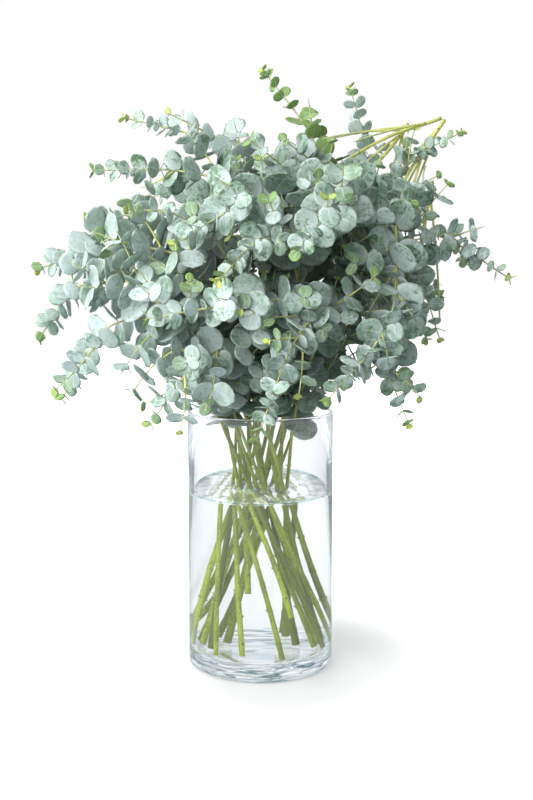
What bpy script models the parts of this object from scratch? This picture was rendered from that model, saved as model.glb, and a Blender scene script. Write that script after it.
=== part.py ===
"""A bunch of cut eucalyptus branches standing in a glass cylinder vase of water.

Blender 4.5, metres, +Z up, the viewer in front at -Y. The origin is the middle of the vase's flat underside.
Each branch is one body: a square stem that tapers to its tip, with round stalkless leaves in crossed pairs that
grow out of the stem's own faces. Most branches stand in the vase, all leaning the same way round as in a spiral
bunch. Four more lie over the bunch with their cut ends in the air. Stems are bent clear of each other, and a leaf
that would cross something is turned, made smaller or left out.
"""

import math
from dataclasses import dataclass, field
from random import Random

import bpy
import numpy as np
from mathutils import Matrix, Vector
from mathutils.bvhtree import BVHTree

MM = 0.001

# The vase and its water
VASE_RADIUS = 60 * MM
VASE_HEIGHT = 212 * MM
WALL = 3 * MM
FLOOR = 15 * MM
RIM_ROUND = 1.4 * MM
FOOT_ROUND = 4 * MM
INNER_ROUND = 5 * MM
WATER_LEVEL = 144.5 * MM
INNER_RADIUS = VASE_RADIUS - WALL
TURNED_SIDES = 30
ROUND_STEPS = 2

# What two solids keep between them
TOUCH = 0.3 * MM
STEM_GAP = 0.55 * MM
LEAF_GAP = 0.35 * MM

# How the stems stand in the vase: foot radius and rim radius of each ring of stems
RINGS = ((49 * MM, 39 * MM), (37 * MM, 28 * MM), (22 * MM, 15 * MM))
SPIRAL_TURN = math.radians(125)
FEET_TO_SIDES = 0.33
FOOT_LIFT = 1.7 * MM

# Stems
STEM_RADIUS = 2.5 * MM
TIP_RADIUS = 0.55 * MM
SWELLING = 1.25
SPINE_STEP = 4 * MM
BARE_RING_STEP = 75 * MM
STRAIGHT_ENOUGH = 0.45 * MM

# Leaves
LEAF_THICK = 1.1 * MM
LEAST_LEAF = 9.4 * MM
CROWN_CORE = Vector((0, 0, 250)) * MM
# Half the outline of a leaf narrower than so much: shares of its length from the root and of its width
OUTLINES = (
    (15 * MM, ((0.5, 0.5),)),
    (27 * MM, ((0.22, 0.46), (0.74, 0.45))),
    (99 * MM, ((0.13, 0.40), (0.50, 0.52), (0.87, 0.30))),
)
# What a crossing leaf tries: turn round the stem, tilt to the stem, both in degrees, and size
LEAF_TRIES = (
    (0, 0, 1.0),
    (18, 0, 1.0),
    (-18, 0, 1.0),
    (0, -18, 1.0),
    (0, 16, 1.0),
    (30, -10, 0.92),
    (-30, -10, 0.92),
    (0, -30, 0.88),
    (30, 16, 0.82),
    (-30, 16, 0.82),
    (0, 0, 0.72),
    (28, -25, 0.68),
    (-28, -25, 0.68),
    (0, 20, 0.6),
)


@dataclass(frozen=True)
class Branch:
    """One cut branch: the points that its stem passes, in mm, its tip last, and its widest leaf in mm.

    ring is the ring of stems that it stands in, 0 the outermost. A branch with no ring lies over the bunch, and
    its route starts at its cut end. bare is the share of the stem above the rim that has no leaves, and lift is
    how far in mm its cut end is above the vase's floor."""

    name: str
    route: tuple
    leaf: float
    ring: int | None = 0
    bare: float = 0.1
    lift: float = 0.0


BRANCHES = (
    Branch("branch_left_long", ((-17, 20, 425), (-66, 20, 440), (-112, 20, 451)), 22, 1, 0.3),
    Branch("branch_left_upper", ((2, -42, 380), (-56, -40, 402), (-134, -22, 405)), 24, 2, 0.2),
    Branch("branch_left_slim", ((-30, -70, 345), (-62, -88, 368), (-99, -90, 371)), 19, 1, 0.15),
    Branch("branch_left_middle", ((-40, -24, 318), (-84, -36, 366), (-134, -44, 368)), 24, 1, 0.15),
    Branch("branch_left_level", ((-48, -76, 330), (-112, -62, 345), (-173, -40, 328)), 28, 0),
    Branch("branch_left_front", ((-70, -92, 300), (-128, -90, 317), (-165, -80, 277)), 24, 1),
    Branch("branch_left_low", ((-62, -66, 285), (-109, -92, 287), (-148, -90, 231)), 24, 0, 0.05),
    Branch("branch_front_left_low", ((-24, -84, 268), (-50, -118, 256), (-80, -112, 215)), 22, 0, 0.03),
    Branch("branch_front_hanging", ((50, -84, 300), (24, -130, 276), (-2, -151, 210)), 22, 0, 0.03),
    Branch("branch_right_level", ((80, 8, 330), (138, 10, 356), (206, 10, 320)), 20, 0, 0.3),
    Branch("branch_right_upper", ((78, 30, 350), (130, 40, 420), (171, 40, 443)), 18, 1, 0.3),
    Branch("branch_top_pale", ((70, 50, 350), (90, 70, 425), (77, 75, 486)), 22, 1, 0.3),
    Branch("branch_top_green", ((44, 30, 350), (50, 58, 425), (1, 60, 498)), 21, 2, 0.3),
    Branch("branch_front_level", ((24, -84, 300), (-28, -130, 302), (-81, -132, 293)), 25, 0, 0.03),
    Branch("branch_front_upper", ((28, -72, 350), (0, -130, 348), (-28, -160, 320)), 24, 1, 0.05),
    Branch("branch_right_low", ((86, -14, 300), (126, -4, 318), (146, -12, 270)), 21, 0, 0.05),
    Branch("branch_back_right_low", ((70, 60, 300), (126, 92, 308), (154, 118, 262)), 25, 0),
    Branch("branch_back_right", ((44, 70, 320), (82, 130, 350), (106, 172, 318)), 25, 1),
    Branch("branch_back_upper", ((14, 56, 360), (10, 118, 415), (-4, 168, 410)), 26, 2, 0.2, 48),
    Branch("branch_back_low", ((4, 78, 280), (-4, 142, 290), (-14, 182, 236)), 25, 0),
    Branch("branch_back_left", ((-34, 62, 350), (-68, 112, 400), (-108, 142, 392)), 25, 1, 0.2),
    Branch("branch_left_back", ((-66, 24, 320), (-126, 44, 356), (-172, 58, 330)), 25, 1, 0.1, 30),
    Branch(
        "branch_laid_upper",
        ((157, 80, 458), (91, 58, 430), (50, 4, 402), (9.7, -72.6, 383.6), (-26.3, -122.6, 365.7), (-58, -142, 345)),
        27,
        None,
        0.4,
    ),
    Branch(
        "branch_laid_middle",
        ((128, 82.8, 455), (106, 54.8, 426), (73, -16, 388), (55, -88, 372), (41, -130, 358), (25, -164, 340)),
        28,
        None,
        0.34,
    ),
    Branch(
        "branch_laid_right",
        ((158, 67, 455), (124, 38, 408), (108.9, -9.8, 375.9), (104, -59, 332), (94, -93, 288), (46, -134, 234)),
        27,
        None,
        0.28,
    ),
    Branch(
        "branch_laid_low",
        ((147, 56, 402), (134, 24, 352), (118, -20, 302), (100, -56, 254), (114, -70, 209)),
        22,
        None,
        0.3,
    ),
)


@dataclass
class Leaf:
    """A leaf on side `side` of a stem's joint: the four corners that it grows from, its midrib, its width direction
    and its size."""

    low: tuple
    high: tuple
    root: Vector
    along: Vector
    across: Vector
    length: float
    width: float
    cup: float
    side: int

    @property
    def upward(self):
        """The direction that the leaf's upper face looks in."""
        return self.across.cross(self.along) * -1

    def outline(self, grow=0.0):
        """The leaf's edge, from its left side at the root round the tip to its right side."""
        length, width = self.length + grow, self.width + 2 * grow
        sides = next(half for limit, half in OUTLINES if self.width < limit)
        flat = [(t, -w) for t, w in sides] + [(1.0, 0.0)] + [(t, w) for t, w in reversed(sides)]
        return [
            self.root + self.along * (t * length) + self.across * (w * width) + self.upward * (self.cup * w * w * 2)
            for t, w in flat
        ]

    def middles(self, thick=LEAF_THICK):
        """The middle points of the upper and the lower face."""
        centre = self.root + self.along * (0.48 * self.length) - self.upward * (0.4 * self.cup)
        return centre + self.upward * (thick / 2), centre - self.upward * (thick / 2)

    def centre(self):
        return self.root + self.along * (self.length / 2)


@dataclass
class Joint:
    """A place on a stem that carries a pair of leaves, on the sides that are named."""

    place: float
    size: float
    twist: float
    sides: tuple
    leaves: list = field(default_factory=list)


class Stem:
    """A stem along a smooth curve, with its own frame at every sample and its joints."""

    def __init__(self, points, radius_start, radius_end):
        self.points = [Vector(p) for p in points]
        self.radius_start, self.radius_end = radius_start, radius_end
        self.joints = []
        self.lengths = [0.0]
        for a, b in zip(self.points, self.points[1:]):
            self.lengths.append(self.lengths[-1] + (b - a).length)
        self.length = self.lengths[-1]
        self.frames = self.carry_frame()

    def carry_frame(self):
        """A right-handed pair of side directions at each sample, carried along without twist."""
        frames = []
        side = Vector((1, 0.2, 0))
        for i, _ in enumerate(self.points):
            ahead = self.points[min(i + 1, len(self.points) - 1)]
            behind = self.points[max(i - 1, 0)]
            tangent = (ahead - behind).normalized()
            side = (side - tangent * side.dot(tangent)).normalized()
            frames.append((tangent, side, tangent.cross(side)))
        return frames

    def at(self, place):
        """Position, tangent and the two side directions at a distance along the stem."""
        place = min(max(place, 0.0), self.length)
        i = int(np.searchsorted(self.lengths, place, side="right")) - 1
        i = min(i, len(self.points) - 2)
        share = (place - self.lengths[i]) / (self.lengths[i + 1] - self.lengths[i])
        spot = self.points[i].lerp(self.points[i + 1], share)
        near, far = self.frames[i], self.frames[i + 1]
        tangent = near[0].lerp(far[0], share).normalized()
        side = near[1].lerp(far[1], share)
        side = (side - tangent * side.dot(tangent)).normalized()
        return spot, tangent, side, tangent.cross(side)

    def radius(self, place):
        share = place / self.length
        return self.radius_start + (self.radius_end - self.radius_start) * share**0.8

    def ring(self, place, twist, swell=1.0):
        """The four corners of the stem's section, with side j between corners j and j + 1."""
        spot, _, side, other = self.at(place)
        reach = self.radius(place) * swell * 1.12
        angles = [twist + math.radians(90 * j - 45) for j in range(4)]
        return [spot + (side * math.cos(a) + other * math.sin(a)) * reach for a in angles]

    def joint_rings(self, joint):
        """The two rings between which a pair of leaves grows."""
        half = min(0.45 * self.radius(joint.place) + 0.5 * MM, 0.2 * joint.size)
        return [self.ring(joint.place + step, joint.twist, SWELLING) for step in (-half, half)]

    def clear_mesh(self, grow, first=0.0):
        """A tree of faces round the stem, `grow` outside it, for crossing tests."""
        steps = max(2, int((self.length - first) / (6 * MM)))
        corners, faces = [], []
        for k in range(steps + 1):
            place = first + (self.length - first) * k / steps
            spot, _, side, other = self.at(place)
            reach = self.radius(place) * SWELLING * 1.15 + grow
            for j in range(4):
                a = math.radians(90 * j - 45)
                corners.append(spot + (side * math.cos(a) + other * math.sin(a)) * reach)
        for k in range(steps):
            for j in range(4):
                a, b = 4 * k + j, 4 * k + (j + 1) % 4
                faces.append((a, b, b + 4, a + 4))
        return BVHTree.FromPolygons(corners, faces)


# Curves


def smooth_route(points, step=SPINE_STEP):
    """Evenly spaced points on a centripetal Catmull-Rom curve through the route."""
    points = [Vector(p) for p in points]
    ends = [points[0] * 2 - points[1], *points, points[-1] * 2 - points[-2]]
    fine = []
    for p0, p1, p2, p3 in zip(ends, ends[1:], ends[2:], ends[3:]):
        t0 = 0.0
        t1 = t0 + math.sqrt((p1 - p0).length)
        t2 = t1 + math.sqrt((p2 - p1).length)
        t3 = t2 + math.sqrt((p3 - p2).length)
        for k in range(24):
            t = t1 + (t2 - t1) * k / 24
            a1 = p0.lerp(p1, (t - t0) / (t1 - t0))
            a2 = p1.lerp(p2, (t - t1) / (t2 - t1))
            a3 = p2.lerp(p3, (t - t2) / (t3 - t2))
            b1 = a1.lerp(a2, (t - t0) / (t2 - t0))
            b2 = a2.lerp(a3, (t - t1) / (t3 - t1))
            fine.append(b1.lerp(b2, (t - t1) / (t2 - t1)))
    fine.append(points[-1])
    return evenly(fine, step)


def evenly(points, step):
    """The same line with its points one step apart."""
    line = np.array([tuple(p) for p in points])
    along = np.concatenate([[0], np.cumsum(np.linalg.norm(np.diff(line, axis=0), axis=1))])
    count = max(4, round(along[-1] / step))
    places = np.linspace(0, along[-1], count + 1)
    return np.stack([np.interp(places, along, line[:, k]) for k in range(3)], axis=1)


def polar(radius, angle, height):
    return Vector((radius * math.cos(angle), radius * math.sin(angle), height))


def vase_starts():
    """Where each standing branch has its foot, its crossing point and its place at the rim.

    The stems of a ring are spaced evenly at the rim in the order in which they leave the bunch, and each foot is
    the same turn further round, drawn a little towards the vase's left and right."""
    starts = {}
    for ring, (foot_radius, rim_radius) in enumerate(RINGS):
        members = [b for b in BRANCHES if b.ring == ring]
        members.sort(key=lambda b: math.atan2(b.route[0][1], b.route[0][0]))
        own = [math.atan2(b.route[0][1], b.route[0][0]) for b in members]
        even = [2 * math.pi * k / len(members) for k in range(len(members))]
        shift = math.atan2(
            sum(math.sin(a - e) for a, e in zip(own, even)), sum(math.cos(a - e) for a, e in zip(own, even))
        )
        for branch, angle in zip(members, even):
            at_rim = angle + shift
            at_foot = at_rim + SPIRAL_TURN
            at_foot -= FEET_TO_SIDES * math.sin(2 * at_foot)
            foot = polar(foot_radius, at_foot, FLOOR + FOOT_LIFT + branch.lift * MM)
            rim = polar(rim_radius, at_rim, VASE_HEIGHT + 4 * MM)
            starts[branch.name] = [foot, foot.lerp(rim, 0.35), foot.lerp(rim, 0.7), rim]
    return starts


def stem_lines():
    """Each branch's stem as evenly spaced points, bent clear of the others and of the glass."""
    starts = vase_starts()
    lines, radii = [], []
    for branch in BRANCHES:
        route = [Vector(p) * MM for p in branch.route]
        lines.append(smooth_route([*starts.get(branch.name, []), *route]))
        share = np.linspace(0, 1, len(lines[-1]))
        radii.append(STEM_RADIUS + (TIP_RADIUS - STEM_RADIUS) * share**0.8)
    bend_clear(lines, radii)
    return [evenly(line, SPINE_STEP) for line in lines]


def nearest_places(a, b):
    """The places on two lines that lie nearest each other, as (index on a, index on b, b's point - a's point)."""
    apart = np.linalg.norm(a[:, None] - b[None], axis=2)
    i, j = np.unravel_index(apart.argmin(), apart.shape)
    fine_a = refined(a, i)
    fine_b = refined(b, j)
    between = np.linalg.norm(fine_a[:, None] - fine_b[None], axis=2)
    m, n = np.unravel_index(between.argmin(), between.shape)
    return i, j, fine_b[n] - fine_a[m]


def refined(line, i):
    """The line's points from just before i to just after it, ten times as close."""
    near = line[max(i - 1, 0) : i + 2]
    places = np.linspace(0, len(near) - 1, 10 * (len(near) - 1) + 1)
    return np.stack([np.interp(places, range(len(near)), near[:, k]) for k in range(3)], axis=1)


def bow(line, i, push, reach=30 * MM):
    """Moves the line by push at point i, and smoothly less to both sides."""
    places = np.arange(len(line)) * SPINE_STEP
    line += np.exp(-(((places - places[i]) / reach) ** 2))[:, None] * push


def bend_clear(lines, radii, rounds=160):
    """Bends stems that touch apart, each by half of what is missing, and keeps them inside the glass."""
    for _ in range(rounds):
        worst = 0.0
        for k, a in enumerate(lines):
            for m in range(k + 1, len(lines)):
                i, j, between = nearest_places(a, lines[m])
                wanted = (radii[k][i] + radii[m][j]) * SWELLING * 1.12 + STEM_GAP
                missing = wanted - np.linalg.norm(between)
                if missing > 0:
                    worst = max(worst, missing)
                    push = between / (np.linalg.norm(between) + 1e-9) * (missing / 2 + 0.02 * MM)
                    bow(a, i, -push)
                    bow(lines[m], j, push)
        for line, radius in zip(lines, radii):
            stay_in_vase(line, radius)
        if worst < 0.05 * MM:
            return


def stay_in_vase(line, radius):
    """Keeps the stretch of a stem that is inside the vase off its wall and floor."""
    for i, (x, y, z) in enumerate(line):
        if z > VASE_HEIGHT + 3 * MM:
            break
        room = INNER_RADIUS - radius[i] * SWELLING * 1.12 - STEM_GAP
        out = math.hypot(x, y)
        if out > room:
            bow(line, i, np.array([-x, -y, 0]) / out * (out - room), 20 * MM)
        line[i, 2] = max(z, FLOOR + FOOT_LIFT)


# Leaves


def leaf_size(share, widest):
    """A leaf's width at a share of the leafy length: full in the middle, small at the tip."""
    if share < 0.45:
        return widest * (0.84 + 0.16 * share / 0.45)
    return widest * (1 - 0.72 * ((share - 0.45) / 0.55) ** 1.5)


def add_joints(stem, first, widest, draw, least=LEAST_LEAF):
    """Puts joints along the stem from `first` to its tip, closer together as the leaves get smaller."""
    place, count = first, 0
    while place < stem.length - 1.5 * MM:
        share = (place - first) / (stem.length - first)
        size = leaf_size(share, widest) * draw.uniform(0.88, 1.1)
        twist = math.radians(draw.uniform(-14, 14))
        if size > least:
            sides = (0, 2) if count % 2 == 0 else (1, 3)
            stem.joints.append(Joint(place, size, twist, sides))
        place += size * draw.uniform(0.66, 0.84) + 2 * MM
        count += 1


def side_corners(ring, side):
    return ring[side], ring[(side + 1) % 4]


def make_leaf(stem, joint, side, draws, turn=0.0, tilt=0.0, scale=1.0):
    """The leaf on one side of a joint, turned round the stem and tilted to it by so many degrees."""
    spot, tangent, first, second = stem.at(joint.place)
    angle = joint.twist + math.radians(90 * side + turn)
    outward = first * math.cos(angle) + second * math.sin(angle)
    share = joint.place / stem.length
    lean = math.radians(80 - 26 * share**3 + draws["lean"] + tilt)
    along = tangent * math.cos(lean) + outward * math.sin(lean)
    across = tangent.cross(outward)
    roll = Matrix.Rotation(draws["roll"], 3, along)
    width = joint.size * scale * draws["wide"]
    low, high = stem.joint_rings(joint)
    return Leaf(
        low=side_corners(low, side),
        high=side_corners(high, side),
        root=spot + outward * stem.radius(joint.place) * SWELLING,
        along=along.normalized(),
        across=(roll @ across).normalized(),
        length=joint.size * scale * draws["long"],
        width=width,
        cup=width * draws["cup"],
        side=side,
    )


def leaf_tree(leaf, grow=0.0):
    """The leaf's two faces as a tree, with its edge moved out and its faces apart by `grow`."""
    corners, faces = [], []
    middles = leaf.middles(LEAF_THICK + 2 * grow)
    for ends, middle, lift in ((leaf.high, middles[0], grow), (leaf.low, middles[1], -grow)):
        first = len(corners)
        edge = [p + leaf.upward * lift for p in leaf.outline(grow)]
        corners += [middle, ends[0], *edge, ends[1]]
        count = len(edge) + 2
        faces += [(first, first + 1 + i, first + 1 + (i + 1) % count) for i in range(count)]
    return BVHTree.FromPolygons(corners, faces)


class Crowd:
    """Everything placed so far, so that a new leaf or shoot can be tested against what is near it."""

    def __init__(self):
        self.stems, self.spots, self.reaches, self.trees = [], [], [], []

    def add_stem(self, owner, stem, first=0.0):
        self.stems.append((owner, stem.clear_mesh(LEAF_GAP, first)))

    def add_solid(self, made):
        corners = [vertex.co.copy() for vertex in made.data.vertices]
        faces = [tuple(face.vertices) for face in made.data.polygons]
        self.stems.append((made, BVHTree.FromPolygons(corners, faces)))

    def add_leaf(self, leaf):
        self.spots.append(tuple(leaf.centre()))
        self.reaches.append(0.62 * max(leaf.length, leaf.width))
        self.trees.append(leaf_tree(leaf))

    def crosses(self, tree, centre, reach, owner):
        """Whether a tree of faces meets a stem other than its owner, or a placed leaf."""
        for other, stem_tree in self.stems:
            if other is not owner and tree.overlap(stem_tree):
                return True
        if not self.spots:
            return False
        apart = np.linalg.norm(np.array(self.spots) - np.array(centre), axis=1)
        for i in np.flatnonzero(apart < np.array(self.reaches) + reach):
            if tree.overlap(self.trees[i]):
                return True
        return False


def leaf_draws(draw):
    """What makes one leaf different from the next."""
    return {
        "lean": draw.uniform(-12, 10),
        "roll": math.radians(draw.uniform(-20, 20)),
        "wide": draw.uniform(0.92, 1.08),
        "long": draw.uniform(0.86, 1.02),
        "cup": draw.uniform(0.05, 0.2),
    }


def in_water(leaf):
    return any(p.z < WATER_LEVEL + 8 * MM and math.hypot(p.x, p.y) < INNER_RADIUS for p in leaf.outline())


def place_leaves(stems, crowd):
    """Gives every joint its leaves, the outermost joints first, each as the first try that crosses nothing."""
    wanted = []
    for number, (stem, draw) in enumerate(stems):
        for joint in stem.joints:
            spot = stem.at(joint.place)[0]
            for side in joint.sides:
                wanted.append(((spot - CROWN_CORE).length, number, stem, joint, side, leaf_draws(draw)))
    wanted.sort(key=lambda w: (-w[0], w[1], w[4]))
    for _, _, stem, joint, side, draws in wanted:
        for turn, tilt, scale in LEAF_TRIES:
            leaf = make_leaf(stem, joint, side, draws, turn, tilt, scale)
            if in_water(leaf):
                continue
            tree = leaf_tree(leaf, LEAF_GAP)
            if not crowd.crosses(tree, leaf.centre(), 0.66 * max(leaf.length, leaf.width), stem):
                joint.leaves.append(leaf)
                crowd.add_leaf(leaf)
                break


def plan_bunch(vase):
    """The stems of all the branches with their joints and leaves, by branch name."""
    plan, crowd, stems = {}, Crowd(), []
    crowd.add_solid(vase)
    for branch, line in zip(BRANCHES, stem_lines()):
        draw = Random(branch.name)
        stem = Stem(line, STEM_RADIUS, TIP_RADIUS)
        if branch.ring is None:
            above = 0.0
        else:
            above = next(s for p, s in zip(stem.points, stem.lengths) if p.z > VASE_HEIGHT)
        first = above + branch.bare * (stem.length - above)
        add_joints(stem, first, branch.leaf * MM, draw)
        crowd.add_stem(stem, stem)
        stems.append((stem, draw))
        plan[branch.name] = stem
    place_leaves(stems, crowd)
    return plan


# Solids


class Body:
    """Points and faces of one closed solid, with new growth joined on at faces of the old."""

    def __init__(self):
        self.points, self.faces = [], []

    def add(self, points):
        first = len(self.points)
        self.points.extend(points)
        return list(range(first, len(self.points)))

    def sleeve(self, low, high, open_sides=()):
        """The sides between two rings of four, without those that something grows from."""
        for j in range(4):
            if j not in open_sides:
                k = (j + 1) % 4
                self.faces.append((low[j], low[k], high[k], high[j]))

    def leaf(self, leaf, low, high):
        """A leaf that grows from the side between two rings, in place of that side's face."""
        j, k = leaf.side, (leaf.side + 1) % 4
        edge = self.add(leaf.outline())
        top, under = self.add(leaf.middles())
        upper = [high[j], *edge, high[k]]
        lower = [low[j], *edge, low[k]]
        for loop, middle, turned in ((upper, top, False), (lower, under, True)):
            for a, b in zip(loop, loop[1:] + loop[:1]):
                self.faces.append((middle, b, a) if turned else (middle, a, b))
        self.faces.append((low[j], edge[0], high[j]))
        self.faces.append((high[k], edge[-1], low[k]))

    def stem(self, stem):
        """A stem with all its leaves, cut flat at its foot and pointed at its tip."""
        low = self.add(stem.ring(0.0, 0.0))
        self.faces.append(tuple(reversed(low)))
        for joint, place, twist in ring_places(stem):
            if joint is None:
                high = self.add(stem.ring(place, twist))
                self.sleeve(low, high)
            else:
                start, high = map(self.add, stem.joint_rings(joint))
                self.sleeve(low, start)
                self.sleeve(start, high, {leaf.side for leaf in joint.leaves})
                for leaf in joint.leaves:
                    self.leaf(leaf, start, high)
            low = high
        (apex,) = self.add([stem.at(stem.length)[0]])
        for j in range(4):
            self.faces.append((low[j], low[(j + 1) % 4], apex))

    def object(self, name, material):
        mesh = bpy.data.meshes.new(name)
        mesh.from_pydata([tuple(p) for p in self.points], [], self.faces)
        mesh.materials.append(material)
        made = bpy.data.objects.new(name, mesh)
        bpy.context.scene.collection.objects.link(made)
        return made


def ring_places(stem):
    """The stem's rings in order: its joints, and plain rings where it bends or is bare for long."""
    places = [(joint, joint.place, joint.twist) for joint in stem.joints]
    stops = [0.0, *[p for _, p, _ in places], stem.length]
    for a, b in zip(stops, stops[1:]):
        places += [(None, place, 0.0) for place in places_between(stem, a, b)]
    last = stem.length - 1.5 * MM
    if not stem.joints or stem.joints[-1].place < last - 4 * MM:
        places.append((None, last, 0.0))
    return sorted(places, key=lambda place: place[1])


def places_between(stem, a, b):
    """Where a stretch of stem needs rings, so that its straight runs follow the curve."""
    start, end = stem.at(a)[0], stem.at(b)[0]
    off = max((stem.at(a + (b - a) * t)[0] - start.lerp(end, t)).length for t in (0.25, 0.5, 0.75))
    if b - a < 10 * MM or (off < STRAIGHT_ENOUGH and b - a < BARE_RING_STEP):
        return []
    middle = (a + b) / 2
    return [*places_between(stem, a, middle), middle, *places_between(stem, middle, b)]


def turned(name, profile, material, sides=TURNED_SIDES):
    """A solid of revolution from a profile of (radius, height) that runs up from the axis and back to it."""
    body = Body()
    rings = []
    for radius, height in profile:
        if radius < 1e-6:
            rings.append(body.add([Vector((0, 0, height))]) * sides)
        else:
            rings.append(body.add([polar(radius, 2 * math.pi * k / sides, height) for k in range(sides)]))
    for low, high in zip(rings, rings[1:]):
        for k in range(sides):
            m = (k + 1) % sides
            corners = dict.fromkeys((low[k], low[m], high[m], high[k]))
            body.faces.append(tuple(corners))
    made = body.object(name, material)
    made.data.shade_smooth()
    made.data.set_sharp_from_angle(angle=math.radians(40))
    return made


def rounding(centre_radius, centre_height, radius, start, end, steps=ROUND_STEPS):
    """Points of an arc in a turned profile, from start to end in degrees."""
    angles = [math.radians(start + (end - start) * k / steps) for k in range(steps + 1)]
    return [(centre_radius + radius * math.cos(a), centre_height + radius * math.sin(a)) for a in angles]


def make_vase(material):
    """The glass: a straight cylinder with a thick flat bottom and a rounded rim."""
    profile = [(0, 0)]
    profile += rounding(VASE_RADIUS - FOOT_ROUND, FOOT_ROUND, FOOT_ROUND, -90, 0)
    profile += rounding(VASE_RADIUS - WALL / 2, VASE_HEIGHT - RIM_ROUND, WALL / 2, 0, 180, 4)
    profile += rounding(INNER_RADIUS - INNER_ROUND, FLOOR + INNER_ROUND, INNER_ROUND, 0, -90)
    profile.append((0, FLOOR))
    return turned("vase", profile, material)


def make_water(material, stems):
    """The water, with a plain hole for each stem that stands in it."""
    radius = INNER_RADIUS - TOUCH
    low = FLOOR + TOUCH
    profile = [(0, low)]
    profile += rounding(radius - INNER_ROUND, low + INNER_ROUND, INNER_ROUND, -90, 0)
    profile += [(radius, WATER_LEVEL), (0, WATER_LEVEL)]
    water = turned("water", profile, material)
    holes = bpy.data.collections.new("stem_holes")
    for name, stem in stems.items():
        hole = hole_body(stem).object("hole_" + name, material)
        bpy.context.scene.collection.objects.unlink(hole)
        holes.objects.link(hole)
    cut = water.modifiers.new("stem_holes", "BOOLEAN")
    cut.operation, cut.operand_type, cut.collection = "DIFFERENCE", "COLLECTION", holes
    cut.use_self = True
    apply_modifier(water, cut, holes)
    return water


def hole_body(stem):
    """A tube round the stretch of stem under water, a little wider than it, that starts in the glass floor."""
    body = Body()
    places = [0.0, *[p for _, p, _ in ring_places(stem) if stem.at(p)[0].z < WATER_LEVEL + 20 * MM]]
    after = next(p for _, p, _ in ring_places(stem) if stem.at(p)[0].z >= WATER_LEVEL + 20 * MM)
    rings = []
    for place in [*places, after]:
        spot = stem.at(place)[0]
        corners = stem.ring(place, 0.0)
        wide = 1 + (TOUCH + 0.15 * MM) * 1.42 / (stem.radius(place) * 1.12)
        rings.append(body.add([spot + (c - spot) * wide for c in corners]))
    down = stem.at(0.0)[1] * (4 * MM)
    first = body.add([body.points[i] - down for i in rings[0]])
    body.faces.append(tuple(reversed(first)))
    body.sleeve(first, rings[0])
    for low, high in zip(rings, rings[1:]):
        body.sleeve(low, high)
    body.faces.append(tuple(rings[-1]))
    return body


def apply_modifier(made, modifier, used):
    """Applies a Boolean and removes the objects that it used."""
    graph = bpy.context.evaluated_depsgraph_get()
    mesh = bpy.data.meshes.new_from_object(made.evaluated_get(graph))
    made.modifiers.remove(modifier)
    made.data = mesh
    for helper in list(used.objects):
        bpy.data.objects.remove(helper)
    bpy.data.collections.remove(used)


def make_material(name, colour, roughness, transmission=0.0):
    material = bpy.data.materials.new(name)
    material.use_nodes = True
    shader = material.node_tree.nodes["Principled BSDF"]
    shader.inputs["Base Color"].default_value = (*colour, 1.0)
    shader.inputs["Roughness"].default_value = roughness
    shader.inputs["Metallic"].default_value = 0.0
    shader.inputs["Transmission Weight"].default_value = transmission
    return material


def main():
    for old in list(bpy.data.objects):
        bpy.data.objects.remove(old)
    glass = make_material("clear_glass", (0.93, 0.97, 0.97), 0.02, 1.0)
    water = make_material("water", (0.95, 0.98, 0.98), 0.0, 1.0)
    foliage = make_material("eucalyptus", (0.36, 0.47, 0.42), 0.6)
    plan = plan_bunch(make_vase(glass))
    standing = {b.name: plan[b.name] for b in BRANCHES if b.ring is not None}
    make_water(water, standing)
    for name, stem in plan.items():
        body = Body()
        body.stem(stem)
        body.object(name, foliage)


if __name__ == "__main__":
    main()
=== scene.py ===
"""A bunch of eucalyptus branches in a glass cylinder vase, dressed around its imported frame.

Metres, +Z up, the viewer in front at -Y, origin at the middle of the vase's flat underside. The bunch is laid
out by the same rules and seeded draws as the frame's plain branches, so each fine leaf stands where the plain
one does. What the frame leaves out is added after that: young leaves at the tips, side shoots, leaves deep in
the bunch, scars on the bare stems, the leaves' veins, bloom and margins, and clear glass and water.
"""

from __future__ import annotations

import logging
import math
from dataclasses import dataclass, field, replace
from enum import Enum
from random import Random

import bpy
import numpy as np
from bpy.types import ID, Material, Node, NodeOutputs, NodeSocket, NodeTree, Object
from mathutils import Matrix, Vector
from mathutils.bvhtree import BVHTree

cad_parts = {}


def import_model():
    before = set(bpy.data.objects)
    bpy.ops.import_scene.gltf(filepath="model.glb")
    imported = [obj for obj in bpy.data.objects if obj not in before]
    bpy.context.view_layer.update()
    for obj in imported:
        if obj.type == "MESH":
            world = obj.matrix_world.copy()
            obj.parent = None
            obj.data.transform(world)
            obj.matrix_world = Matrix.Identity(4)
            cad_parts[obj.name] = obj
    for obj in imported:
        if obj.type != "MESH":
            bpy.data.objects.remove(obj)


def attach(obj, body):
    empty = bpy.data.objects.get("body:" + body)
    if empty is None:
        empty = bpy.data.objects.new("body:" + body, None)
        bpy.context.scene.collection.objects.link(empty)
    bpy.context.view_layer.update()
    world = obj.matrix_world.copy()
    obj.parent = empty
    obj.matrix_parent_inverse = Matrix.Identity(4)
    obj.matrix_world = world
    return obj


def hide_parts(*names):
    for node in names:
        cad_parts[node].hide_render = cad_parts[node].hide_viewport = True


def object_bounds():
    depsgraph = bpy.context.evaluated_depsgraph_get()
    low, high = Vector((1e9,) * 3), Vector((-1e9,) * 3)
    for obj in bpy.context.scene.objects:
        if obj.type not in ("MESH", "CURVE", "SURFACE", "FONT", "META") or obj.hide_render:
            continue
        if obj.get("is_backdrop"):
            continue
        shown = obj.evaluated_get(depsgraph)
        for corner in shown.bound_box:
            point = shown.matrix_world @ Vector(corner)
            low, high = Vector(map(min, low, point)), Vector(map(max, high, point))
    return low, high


LOG = logging.getLogger("eucalyptus")
MM = 0.001

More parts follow.
